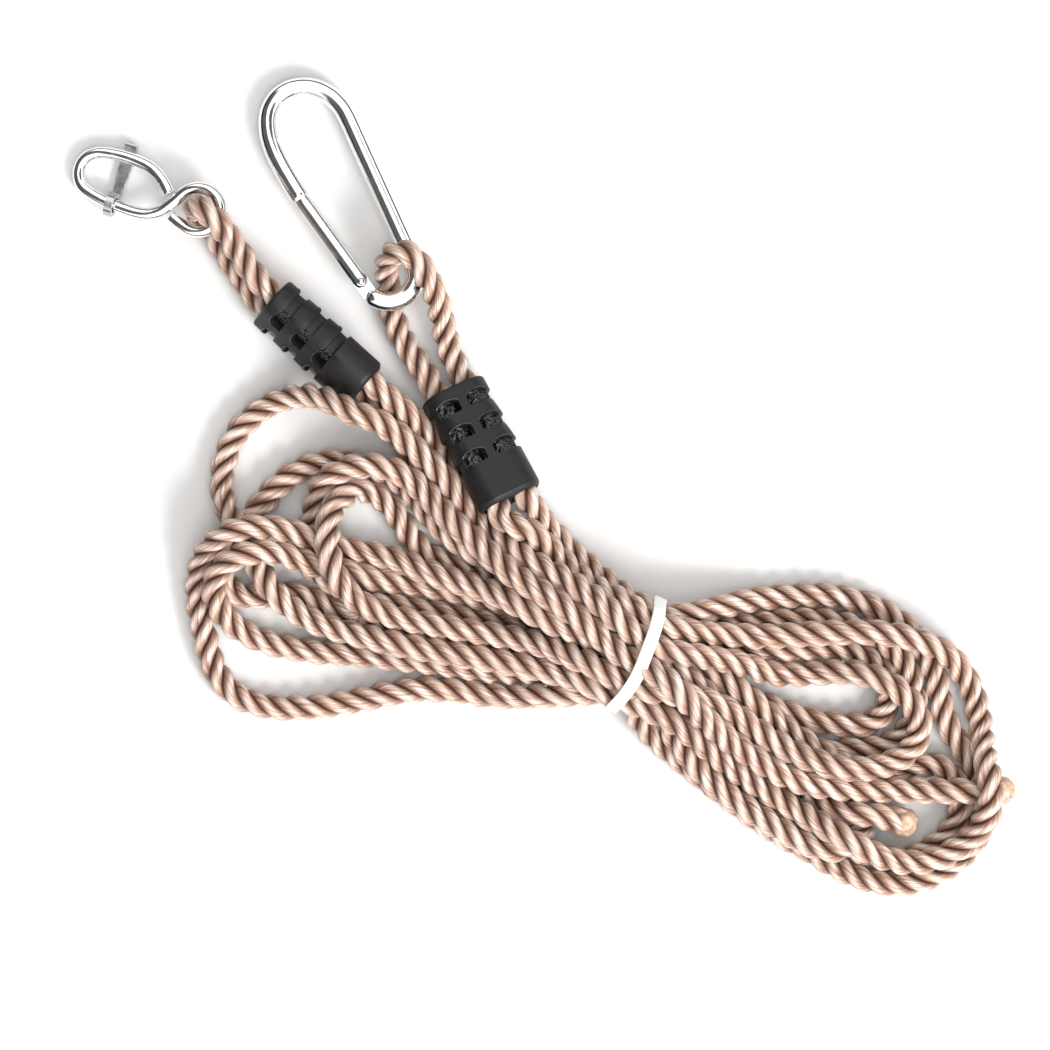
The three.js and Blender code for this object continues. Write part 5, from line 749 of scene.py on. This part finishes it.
# ---------------------------------------------------------------- tie band round the waist
def tie_band():
    c = (WAIST.max(0) + WAIST.min(0)) / 2
    closed = np.vstack([WAIST, WAIST[:1]])
    s = arc(closed)
    n = 144
    q = np.linspace(0, s[-1], n, endpoint=False)
    loop = np.stack([np.interp(q, s, closed[:, k]) for k in range(2)], axis=1)
    for _ in range(3):
        loop = (np.roll(loop, 1, 0) + 2 * loop + np.roll(loop, -1, 0)) / 4
    tan = np.roll(loop, -1, 0) - np.roll(loop, 1, 0)
    nor = np.stack([tan[:, 1], -tan[:, 0]], axis=1)
    nor /= np.linalg.norm(nor, axis=1, keepdims=True)
    if np.sum(nor * (loop - c)) < 0:
        nor = -nor
    # cross section: a soft flat strip
    w, th = 2.45, 0.95
    prof = []
    for k in range(16):
        a = 2 * math.pi * k / 16
        cx, sx = math.cos(a), math.sin(a)
        prof.append((w * abs(cx) ** 0.55 * (1 if cx > 0 else -1), 0.45 + th / 2 + th / 2 * abs(sx) ** 0.7 * (1 if sx > 0 else -1)))
    verts = []
    for i in range(n):
        a = 2 * math.pi * i / n
        sway = 0.35 * math.sin(2 * a + 0.6) + 0.2 * math.sin(5 * a)
        for u, o in prof:
            lift = 0.16 * math.sin(7 * a + 0.4) + 0.1 * math.sin(13 * a)
            tz = loop[i] + nor[i] * (o + lift * 0.6)
            half = (WAIST[:, 0].max() - WAIST[:, 0].min()) / 2
            x = min(1.0, abs(loop[i, 0] - c[0]) / half)
            top = 0.5 + 0.5 * math.tanh((loop[i, 1] - 16.0) / 4.0)
            bow = 3.5 * (1 - x * x) * top
            verts.append(WAIST_AT + WAIST_ALONG * (u + sway + bow) + WAIST_ACROSS * tz[0] + np.array([0, 0, tz[1] - WAIST_AT[2]]))
    m = len(prof)
    faces = []
    for i in range(n):
        j = (i + 1) % n
        for k in range(m):
            l = (k + 1) % m
            faces.append((i * m + k, i * m + l, j * m + l, j * m + k))
    ob = mesh_object("tie_band_soft", np.array(verts) * MM, faces, BAND)
    recalc(ob)
    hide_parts("tie_band")
    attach(ob, "hank")
    return ob


tie_band()


# ---------------------------------------------------------------- round bars
def bar(name, points, radius, sides, step, material, ends=("dome", "dome"), flat=None):
    s = arc(points)
    n = max(4, int(s[-1] / step))
    q = np.linspace(0, s[-1], n + 1)
    p = hermite(points, q)
    t, nn, bb = frames(p)
    rings = []
    dome = [(1.0, 0.0), (0.97, 0.22), (0.88, 0.45), (0.72, 0.66), (0.5, 0.82), (0.26, 0.93)]
    chamfer = [(1.0, 0.0), (0.985, 0.06), (0.95, 0.10)]
    tab = {"dome": dome, "chamfer": chamfer}

    def radius_at(x):
        return radius(x / s[-1]) if callable(radius) else radius

    r0, r1 = radius_at(0), radius_at(s[-1])
    for f, z in reversed(tab[ends[0]][1:]):
        k = r0 * (z - tab[ends[0]][-1][1])
        rings.append((p[0] + t[0] * (r0 * (tab[ends[0]][-1][1] - z)), nn[0], bb[0], r0 * f))
    for i in range(n + 1):
        if i == 0 or q[i] > r0 * tab[ends[0]][-1][1] * 1.05:
            if s[-1] - q[i] > r1 * tab[ends[1]][-1][1] * 1.05 or i == n:
                if i == 0:
                    rings.append((p[0] + t[0] * (r0 * tab[ends[0]][-1][1]), nn[0], bb[0], r0))
                elif i == n:
                    rings.append((p[n] - t[n] * (r1 * tab[ends[1]][-1][1]), nn[n], bb[n], r1))
                else:
                    rings.append((p[i], nn[i], bb[i], radius_at(q[i])))
    for f, z in tab[ends[1]][1:]:
        rings.append((p[n] - t[n] * (r1 * (tab[ends[1]][-1][1] - z)), nn[n], bb[n], r1 * f))
    verts = []
    for c, a, b, r in rings:
        for j in range(sides):
            f = 2 * math.pi * j / sides
            verts.append(c + (a * math.cos(f) + b * math.sin(f)) * r)
    faces = []
    for i in range(len(rings) - 1):
        for j in range(sides):
            k = (j + 1) % sides
            faces.append((i * sides + j, i * sides + k, (i + 1) * sides + k, (i + 1) * sides + j))
    faces.append(tuple(range(sides))[::-1])
    faces.append(tuple((len(rings) - 1) * sides + j for j in range(sides)))
    ob = mesh_object(name, np.array(verts) * MM, faces, material)
    recalc(ob)
    return ob


def boolean(ob, cutter, op="DIFFERENCE"):
    m = ob.modifiers.new("cut", "BOOLEAN")
    m.operation = op
    m.object = cutter
    m.solver = "EXACT"
    bpy.context.view_layer.update()
    dg = bpy.context.evaluated_depsgraph_get()
    me = bpy.data.meshes.new_from_object(ob.evaluated_get(dg))
    ob.modifiers.clear()
    old = ob.data
    ob.data = me
    bpy.data.meshes.remove(old)
    bpy.data.objects.remove(cutter)
    return ob


def block(lo, hi, axes, origin, name="tmp"):
    """A closed box in local axes, for cutting or joining."""
    v = []
    for x in (lo[0], hi[0]):
        for y in (lo[1], hi[1]):
            for z in (lo[2], hi[2]):
                v.append(origin + axes[0] * x + axes[1] * y + axes[2] * z)
    f = [(0, 1, 3, 2), (4, 6, 7, 5), (0, 4, 5, 1), (2, 3, 7, 6), (0, 2, 6, 4), (1, 5, 7, 3)]
    ob = mesh_object(name, np.array(v) * MM, f, STEEL, smooth=False)
    recalc(ob)
    return ob


def drum(r, a, b, axis, axes, origin, shift=(0, 0, 0), sides=48, name="tmp", material=None, r2=None):
    """A closed round prism along a local axis."""
    x, y = [(1, 2), (2, 0), (0, 1)][axis]
    v = []
    for z, rr in ((a, r), (b, r if r2 is None else r2)):
        for j in range(sides):
            f = 2 * math.pi * j / sides
            c = [0.0, 0.0, 0.0]
            c[x] = rr * math.cos(f)
            c[y] = rr * math.sin(f)
            c[axis] = z
            c = [c[i] + shift[i] for i in range(3)]
            v.append(origin + axes[0] * c[0] + axes[1] * c[1] + axes[2] * c[2])
    f = [(j, (j + 1) % sides, sides + (j + 1) % sides, sides + j) for j in range(sides)]
    f.append(tuple(range(sides))[::-1])
    f.append(tuple(range(sides, 2 * sides)))
    ob = mesh_object(name, np.array(v) * MM, f, material or STEEL, smooth=False)
    recalc(ob)
    return ob


def shade(ob, angle=30):
    """Smooth faces with true creases kept."""
    me = ob.data
    me.polygons.foreach_set("use_smooth", [True] * len(me.polygons))
    me.set_sharp_from_angle(angle=math.radians(angle))
    return ob


GA = (GATE_DIR, GATE_SIDE, GATE_UP)
GLEN = float(np.linalg.norm(RIVET - NOSE))

# carabiner body: round bar, nose plate, hinge tongue
body = bar("carabiner_bar", CARABINER, 3.65, 40, 1.4, STEEL, ends=("chamfer", "dome"))
boolean(body, block((-3.2, -1.7, -1.0), (3.9, 1.7, 1.0), GA, NOSE), "UNION")
boolean(body, drum(2.8, -1.3, 1.3, 2, GA, NOSE, (GLEN, 0, 0)), "UNION")
boolean(body, block((GLEN, -2.77, -1.29), (GLEN + 6.2, 2.77, 1.29), GA, NOSE), "UNION")
boolean(body, drum(1.3, -6, 6, 2, GA, NOSE, (GLEN, 0, 0), 32))
shade(body)
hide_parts("carabiner_body")
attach(body, "carabiner_eye")

# gate: round bar slotted at both ends, bored for its spring
gate_line = np.array([NOSE + GATE_DIR * x for x in np.linspace(0.65, GLEN + 2.5, 12)])
gate = bar("gate_bar", gate_line, 3.1, 40, 2.0, STEEL_GATE, ends=("chamfer", "dome"))
boolean(gate, block((-1, -6, -1.25), (4.5, 6, 1.25), GA, NOSE))
boolean(gate, block((GLEN - 3.3, -6, -1.55), (GLEN + 6, 6, 1.55), GA, NOSE))
boolean(gate, drum(1.6, GLEN - 20, GLEN - 3, 0, GA, NOSE, sides=24))
boolean(gate, drum(1.3, -6, 6, 2, GA, NOSE, (GLEN, 0, 0), 32))
shade(gate)
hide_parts("carabiner_gate")
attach(gate, "gate")


def lathe(name, profile, axis, axes, origin, shift, sides, material):
    """A turned part: (distance along the axis, radius) from end to end."""
    x, y = [(1, 2), (2, 0), (0, 1)][axis]
    v = []
    for z, rr in profile:
        for j in range(sides):
            f = 2 * math.pi * j / sides
            c = [0.0, 0.0, 0.0]
            c[x], c[y], c[axis] = rr * math.cos(f), rr * math.sin(f), z
            c = [c[i] + shift[i] for i in range(3)]
            v.append(origin + axes[0] * c[0] + axes[1] * c[1] + axes[2] * c[2])
    n = len(profile)
    f = []
    for i in range(n - 1):
        for j in range(sides):
            k = (j + 1) % sides
            f.append((i * sides + j, i * sides + k, (i + 1) * sides + k, (i + 1) * sides + j))
    f.append(tuple(range(sides))[::-1])
    f.append(tuple((n - 1) * sides + j for j in range(sides)))
    ob = mesh_object(name, np.array(v) * MM, f, material)
    recalc(ob)
    return shade(ob, 40)


rivet = lathe(
    "rivet_pin",
    [(-3.12, 0.75), (-3.02, 1.0), (-2.85, 1.15), (-2.6, 1.2), (0, 1.2), (2.6, 1.2), (2.85, 1.15), (3.02, 1.0), (3.12, 0.75)],
    2, GA, NOSE, (GLEN, 0, 0), 32, STEEL_PIN,
)
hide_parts("gate_rivet")
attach(rivet, "carabiner_eye")
plunger = lathe(
    "plunger_pin",
    [(GLEN - 8.4, 0.9), (GLEN - 8.2, 1.05), (GLEN - 7.2, 1.05), (GLEN - 7.1, 1.3), (GLEN - 3.7, 1.3), (GLEN - 3.3, 1.05), (GLEN - 3.15, 0.6)],
    0, GA, NOSE, (0, 0, 0), 28, STEEL_PIN,
)
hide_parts("gate_plunger")
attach(plunger, "gate")
_turn = np.linspace(0, 1, 150)
coil = [
    NOSE + GATE_DIR * (GLEN - 19.2 + 10.2 * a) + GATE_SIDE * (1.12 * math.cos(a * 2 * math.pi * 6)) + GATE_UP * (1.12 * math.sin(a * 2 * math.pi * 6))
    for a in _turn
]
spring = bar("spring_wire", np.array(coil), 0.2, 8, 0.4, WIRE, ends=("chamfer", "chamfer"))
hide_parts("gate_spring")
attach(spring, "gate")

# hook: bent wire
hook = bar("hook_wire", HOOK, 2.35, 36, 1.0, STEEL, ends=("chamfer", "chamfer"))
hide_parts("hook_body")
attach(hook, "hook")


def keeper():
    """A pressed strip rolled round the wire, with a small turned-up end."""
    out, inn, reach, w = 4.55, 2.95, 24.2, 2.3
    a0 = math.asin((-out + 1.7) / out)
    pts = []
    pts.append((0.0, -out))
    for x in np.linspace(2, reach - 1.2, 15):
        pts.append((x, -out))
    for a in np.linspace(-90, 0, 6):
        pts.append((reach - 1.2 + 1.2 * math.cos(math.radians(a)), -out + 1.2 + 1.2 * math.sin(math.radians(a))))
    pts.append((reach, -1.9))
    for a in np.linspace(0, 180, 6):
        pts.append((reach - 0.65 + 0.65 * math.cos(math.radians(a)), -1.9 + 0.35 * math.sin(math.radians(a))))
    pts.append((reach - 1.3, -out + 2.1))
    pts.append((reach - 1.7, -out + 1.7))
    for x in np.linspace(reach - 3, 5.0, 12):
        pts.append((x, -out + 1.7))
    n = 40
    for i in range(n):
        a = a0 + (i / n) * (math.pi * 1.5 - a0)
        pts.append((out * math.cos(a), out * math.sin(a)))
    outer = np.array(pts)
    hole = [(inn * math.cos(-2 * math.pi * i / 40), inn * math.sin(-2 * math.pi * i / 40)) for i in range(40)]
    import mathutils

    tess = mathutils.geometry.tessellate_polygon(
        [[mathutils.Vector((x, y, 0)) for x, y in outer], [mathutils.Vector((x, y, 0)) for x, y in hole]]
    )
    flat = np.vstack([outer, hole])
    k = len(flat)
    verts = []
    for z in (-1, 1):
        for x, y in flat:
            k2 = min(1.0, max(0.0, (x - 3.0) / 12.0))
            half = 1.5 + (w - 1.5) * k2 * k2 * (3 - 2 * k2)
            verts.append(KEEPER_AT + KEEPER_DIR * x + KEEPER_UP * y + KEEPER_AXIS * z * half)
    faces = [tuple(t) for t in tess] + [tuple(i + k for i in t[::-1]) for t in tess]
    for a, b in ((0, len(outer)), (len(outer), k)):
        m = b - a
        for i in range(m):
            j = (i + 1) % m
            faces.append((a + i, a + j, k + a + j, k + a + i))
    ob = mesh_object("keeper_strip", np.array(verts) * MM, faces, STEEL_DARK, smooth=False)
    recalc(ob)
    shade(ob, 30)
    b = ob.modifiers.new("round", "BEVEL")
    b.width = 0.00032
    b.segments = 2
    b.limit_method = "ANGLE"
    b.angle_limit = math.radians(60)
    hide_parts("hook_keeper")
    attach(ob, "keeper")
    return ob


keeper()

# ---------------------------------------------------------------- length adjusters
HALF_W, EDGE_R = 13.0, 8.25
CHANNEL_AT, CHANNEL_R = 5.9, 5.4
STEPS = [
    (0, 0.9), (0.25, 0.45), (0.7, 0.12), (1.3, 0.0), (6.0, 0.0), (6.2, 0.12), (6.3, 1.35), (9.7, 1.4), (10.1, 0.9), (13.0, 0.42), (16.4, 0.0),
    (16.7, 0.12), (16.8, 1.35), (20.2, 1.4), (20.6, 0.9), (23.5, 0.42), (26.9, 0.0), (27.2, 0.12), (27.3, 1.35), (30.6, 1.4), (31.0, 0.3), (31.3, 0.0),
    (37.0, 0.0), (-2.6, 0.0), (-1.5, 0.22), (-0.6, 0.85), (0.0, 1.75),
]
ROWS = [(4.9, 10.1), (15.4, 20.6), (25.9, 31.1)]


def prism(poly, y0, y1, axes, origin):
    """A polygon in local x and z, pushed along local y."""
    v, k = [], len(poly)
    for y in (y0, y1):
        for x, z in poly:
            v.append(origin + axes[0] * x + axes[1] * y + axes[2] * z)
    f = [(i, (i + 1) % k, k + (i + 1) % k, k + i) for i in range(k)]
    f.append(tuple(range(k))[::-1])
    f.append(tuple(range(k, 2 * k)))
    ob = mesh_object("tmp", np.array(v) * MM, f, BLACK, smooth=False)
    recalc(ob)
    return ob


def arch(x0, x1, s0, s1):
    """A window with a bowed upper lip and rounded lower corners."""
    xm, h = (x0 + x1) / 2, (x1 - x0) / 2
    p = []
    for a in np.linspace(180, 0, 15):
        p.append((xm + h * math.cos(math.radians(a)), s0 + 1.5 - 1.7 * math.sin(math.radians(a))))
    r = 0.8
    for a in np.linspace(0, 90, 5):
        p.append((x1 - r + r * math.cos(math.radians(a)), s1 - r + r * math.sin(math.radians(a))))
    for a in np.linspace(90, 180, 5):
        p.append((x0 + r + r * math.cos(math.radians(a)), s1 - r + r * math.sin(math.radians(a))))
    return p


def lip(x0, x1, s0, face, axes, origin):
    """A thin moulded bead along the bowed upper edge of a window."""
    xm, h = (x0 + x1) / 2, (x1 - x0) / 2
    c, pts = HALF_W - EDGE_R, []
    for a in np.linspace(172, 8, 21):
        x = xm + h * math.cos(math.radians(a))
        over = max(0.0, abs(x) - c)
        y = math.sqrt(max(0.0, EDGE_R * EDGE_R - over * over)) * face
        pts.append(origin + axes[0] * x + axes[1] * y + axes[2] * (s0 + 1.15 - 1.7 * math.sin(math.radians(a))))
    v, f, n = [], [], 8
    for i, p in enumerate(pts):
        d = pts[min(i + 1, 20)] - pts[max(i - 1, 0)]
        d = d / np.linalg.norm(d)
        e1 = np.cross(d, axes[1])
        e1 = e1 / np.linalg.norm(e1)
        e2 = np.cross(d, e1)
        r = 0.30 if 0 < i < 20 else 0.12
        for q in range(n):
            w = 2 * math.pi * q / n
            v.append(p + e1 * r * math.cos(w) + e2 * r * math.sin(w))
    for i in range(20):
        for q in range(n):
            u = (q + 1) % n
            f.append((i * n + q, i * n + u, (i + 1) * n + u, (i + 1) * n + q))
    f.append(tuple(range(n))[::-1])
    f.append(tuple(20 * n + q for q in range(n)))
    return v, f


def adjuster(k, body):
    a = ADJ[k - 1]
    axes = (np.array(a["wide"]), np.array(a["face"]), np.array(a["along"]))
    at0, length = np.array(a["mouth"]), a["length"]
    n, c = 19, HALF_W - EDGE_R
    prof = [(s, d) for s, d in STEPS[:-4]] + [(length + s, d) for s, d in STEPS[-4:]]
    verts, m = [], 2 * n + 8
    for s, d in prof:
        # the notches are in the narrow sides only
        r = EDGE_R - d
        h = r if s < 1.2 or s > length - 1.2 else EDGE_R
        ring = [(c + r * math.cos(t), h * math.sin(t)) for t in np.linspace(-math.pi / 2, math.pi / 2, n)]
        ring += [(x, h) for x in np.linspace(c, -c, 6)[1:-1]]
        ring += [(-c + r * math.cos(t), h * math.sin(t)) for t in np.linspace(math.pi / 2, 3 * math.pi / 2, n)]
        ring += [(x, -h) for x in np.linspace(-c, c, 6)[1:-1]]
        for x, y in ring:
            verts.append(at0 + axes[0] * x + axes[1] * y + axes[2] * s)
    faces = []
    for i in range(len(prof) - 1):
        for j in range(m):
            l = (j + 1) % m
            faces.append((i * m + j, i * m + l, (i + 1) * m + l, (i + 1) * m + j))
    faces.append(tuple(range(m))[::-1])
    faces.append(tuple((len(prof) - 1) * m + j for j in range(m)))
    ob = mesh_object("adjuster_cleat_%d" % k, np.array(verts) * MM, faces, BLACK)
    recalc(ob)
    for side in (-1, 1):
        for face in (-1, 1):
            for s0, s1 in ROWS:
                x0, x1 = (1.7, 10.5) if side > 0 else (-10.5, -1.7)
                y0, y1 = (4.6, EDGE_R + 1.5) if face > 0 else (-EDGE_R - 1.5, -4.6)
                cut = prism(arch(x0, x1, s0, s1), y0, y1, axes, at0)
                boolean(cut, drum(6.05, s0 - 2, s1 + 2, 2, axes, at0, (CHANNEL_AT * side, 0, 0), 48))
                boolean(ob, cut)
    for side in (-1, 1):
        boolean(ob, drum(CHANNEL_R, -1, length + 1, 2, axes, at0, (CHANNEL_AT * side, 0, 0), 64))
        # a wider mouth at the open end of each channel
        boolean(ob, drum(CHANNEL_R + 0.3, -1, 4.2, 2, axes, at0, (CHANNEL_AT * side, 0, 0), 64))
    me = ob.data
    me.materials.clear()
    me.materials.append(BLACK)
    me.materials.append(BLACK_GLOSS)
    gloss = []
    for p in me.polygons:
        q = np.array(p.center) / MM - at0
        x, y, z = q @ axes[0], q @ axes[1], q @ axes[2]
        near = min(abs(math.hypot(x - CHANNEL_AT, y) - 6.05), abs(math.hypot(x + CHANNEL_AT, y) - 6.05))
        row = any(s0 - 0.4 < z < s1 + 0.2 for s0, s1 in ROWS)
        gloss.append(1 if row and abs(x) < 10.6 and near < 0.12 and abs(y) > 3.5 else 0)
    me.polygons.foreach_set("material_index", gloss)
    # the beads over the windows join the same moulding, in a lighter copy of the black that paints a highlight along
    # the lips
    bv, bf = [], []
    for side in (-1, 1):
        for face in (-1, 1):
            for s0, s1 in ROWS:
                x0, x1 = (1.7, 10.5) if side > 0 else (-10.5, -1.7)
                v, f = lip(x0, x1, s0, face, axes, at0)
                bf += [tuple(i + len(bv) for i in q) for q in f]
                bv += v
    beads = mesh_object("tmp", np.array(bv) * MM, bf, BLACK_LIP_HIGHLIGHT)
    recalc(beads)
    import bmesh

    own = len(me.polygons)
    bm = bmesh.new()
    bm.from_mesh(me)
    bm.from_mesh(beads.data)
    bm.to_mesh(me)
    bm.free()
    bpy.data.objects.remove(beads)
    me.materials.append(BLACK_LIP_HIGHLIGHT)
    for i in range(own, len(me.polygons)):
        me.polygons[i].material_index = 2
    shade(ob, 32)
    b = ob.modifiers.new("round", "BEVEL")
    b.width = 0.00028
    b.segments = 2
    b.limit_method = "ANGLE"
    b.angle_limit = math.radians(50)
    b.use_clamp_overlap = True
    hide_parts("adjuster_%d" % k)
    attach(ob, body)
    return ob


adjuster(1, "adjuster_hook_side")
adjuster(2, "adjuster_carabiner_side")


# ---------------------------------------------------------------- floor, light
def stage_floor():
    me = bpy.data.meshes.new("floor")
    s = 6.0
    me.from_pydata([(-s, -s, -0.0004), (s, -s, -0.0004), (s, s, -0.0004), (-s, s, -0.0004)], [], [(0, 1, 2, 3)])
    ob = bpy.data.objects.new("floor", me)
    bpy.context.scene.collection.objects.link(ob)
    m, t, b = nodes("floor_white")
    b.inputs["Base Color"].default_value = (0.70, 0.69, 0.68, 1)
    b.inputs["Roughness"].default_value = 0.9
    b.inputs["Specular IOR Level"].default_value = 0.1
    me.materials.append(m)


stage_floor()
world = bpy.data.worlds.new("studio")
bpy.context.scene.world = world
world.use_nodes = True
wt = world.node_tree
bg = wt.nodes["Background"]
bg.inputs[1].default_value = 1.72
wco = wt.nodes.new("ShaderNodeTexCoord")
wsep = wt.nodes.new("ShaderNodeSeparateXYZ")
wt.links.new(wco.outputs["Generated"], wsep.inputs[0])


def smooth(t, value, a, b, lo, hi):
    n = t.nodes.new("ShaderNodeMapRange")
    n.interpolation_type = "SMOOTHSTEP"
    for k, v in (("From Min", a), ("From Max", b), ("To Min", lo), ("To Max", hi)):
        n.inputs[k].default_value = v
    t.links.new(value, n.inputs["Value"])
    return n.outputs[0]


# a light tent: white above, a dark gap above the table, and two dark flags
tent = smooth(wt, wsep.outputs[2], 0.24, 0.46, 0.02, 1.0)


def toward(x, y, z):
    n = wt.nodes.new("ShaderNodeVectorMath")
    n.operation = "DOT_PRODUCT"
    n.inputs[1].default_value = (x, y, z)
    wt.links.new(wco.outputs["Generated"], n.inputs[0])
    return n.outputs["Value"]


left = smooth(wt, toward(-0.840, 0.118, 0.530), 0.719, 0.809, 0.0, 1.0)
right = smooth(wt, toward(0.539, 0.196, 0.819), 0.927, 0.956, 0.0, 1.0)
flag = math_node(wt, "SUBTRACT", 1.0, math_node(wt, "MULTIPLY", math_node(wt, "MAXIMUM", left, right), 0.93))
level = math_node(wt, "MULTIPLY", tent, flag)
wmix = wt.nodes.new("ShaderNodeMix")
wmix.data_type = "RGBA"
wt.links.new(level, wmix.inputs[0])
wmix.inputs[6].default_value = (0.0, 0.0, 0.0, 1)
wmix.inputs[7].default_value = (1.0, 1.0, 1.0, 1)
seen = wt.nodes.new("ShaderNodeLightPath")
pale = wt.nodes.new("ShaderNodeMix")
pale.data_type = "RGBA"
wt.links.new(seen.outputs["Is Camera Ray"], pale.inputs[0])
wt.links.new(wmix.outputs[2], pale.inputs[6])
pale.inputs[7].default_value = (0.56, 0.56, 0.56, 1)
wt.links.new(pale.outputs[2], bg.inputs[0])


def softbox(name, loc, target, size, power, size_y=None, color=(1, 1, 1)):
    d = bpy.data.lights.new(name, "AREA")
    d.shape = "RECTANGLE" if size_y else "SQUARE"
    d.size = size
    if size_y:
        d.size_y = size_y
    d.energy = power
    d.color = color
    o = bpy.data.objects.new(name, d)
    bpy.context.scene.collection.objects.link(o)
    import mathutils

    v = mathutils.Vector(target) - mathutils.Vector(loc)
    o.location = loc
    o.rotation_euler = v.to_track_quat("-Z", "Y").to_euler()
    return o


softbox("overhead", (0.25, -0.25, 2.9), (0, 0, 0), 1.2, 14)
softbox("key", (1.05, -1.2, 1.35), (0, 0, 0), 0.7, 45)

scene = bpy.context.scene
scene.view_settings.view_transform = "Standard"
scene.view_settings.look = "None"
scene.view_settings.exposure = 0.0
scene.view_settings.gamma = 1.0

# ---------------------------------------------------------------- update the scene
bpy.context.view_layer.update()
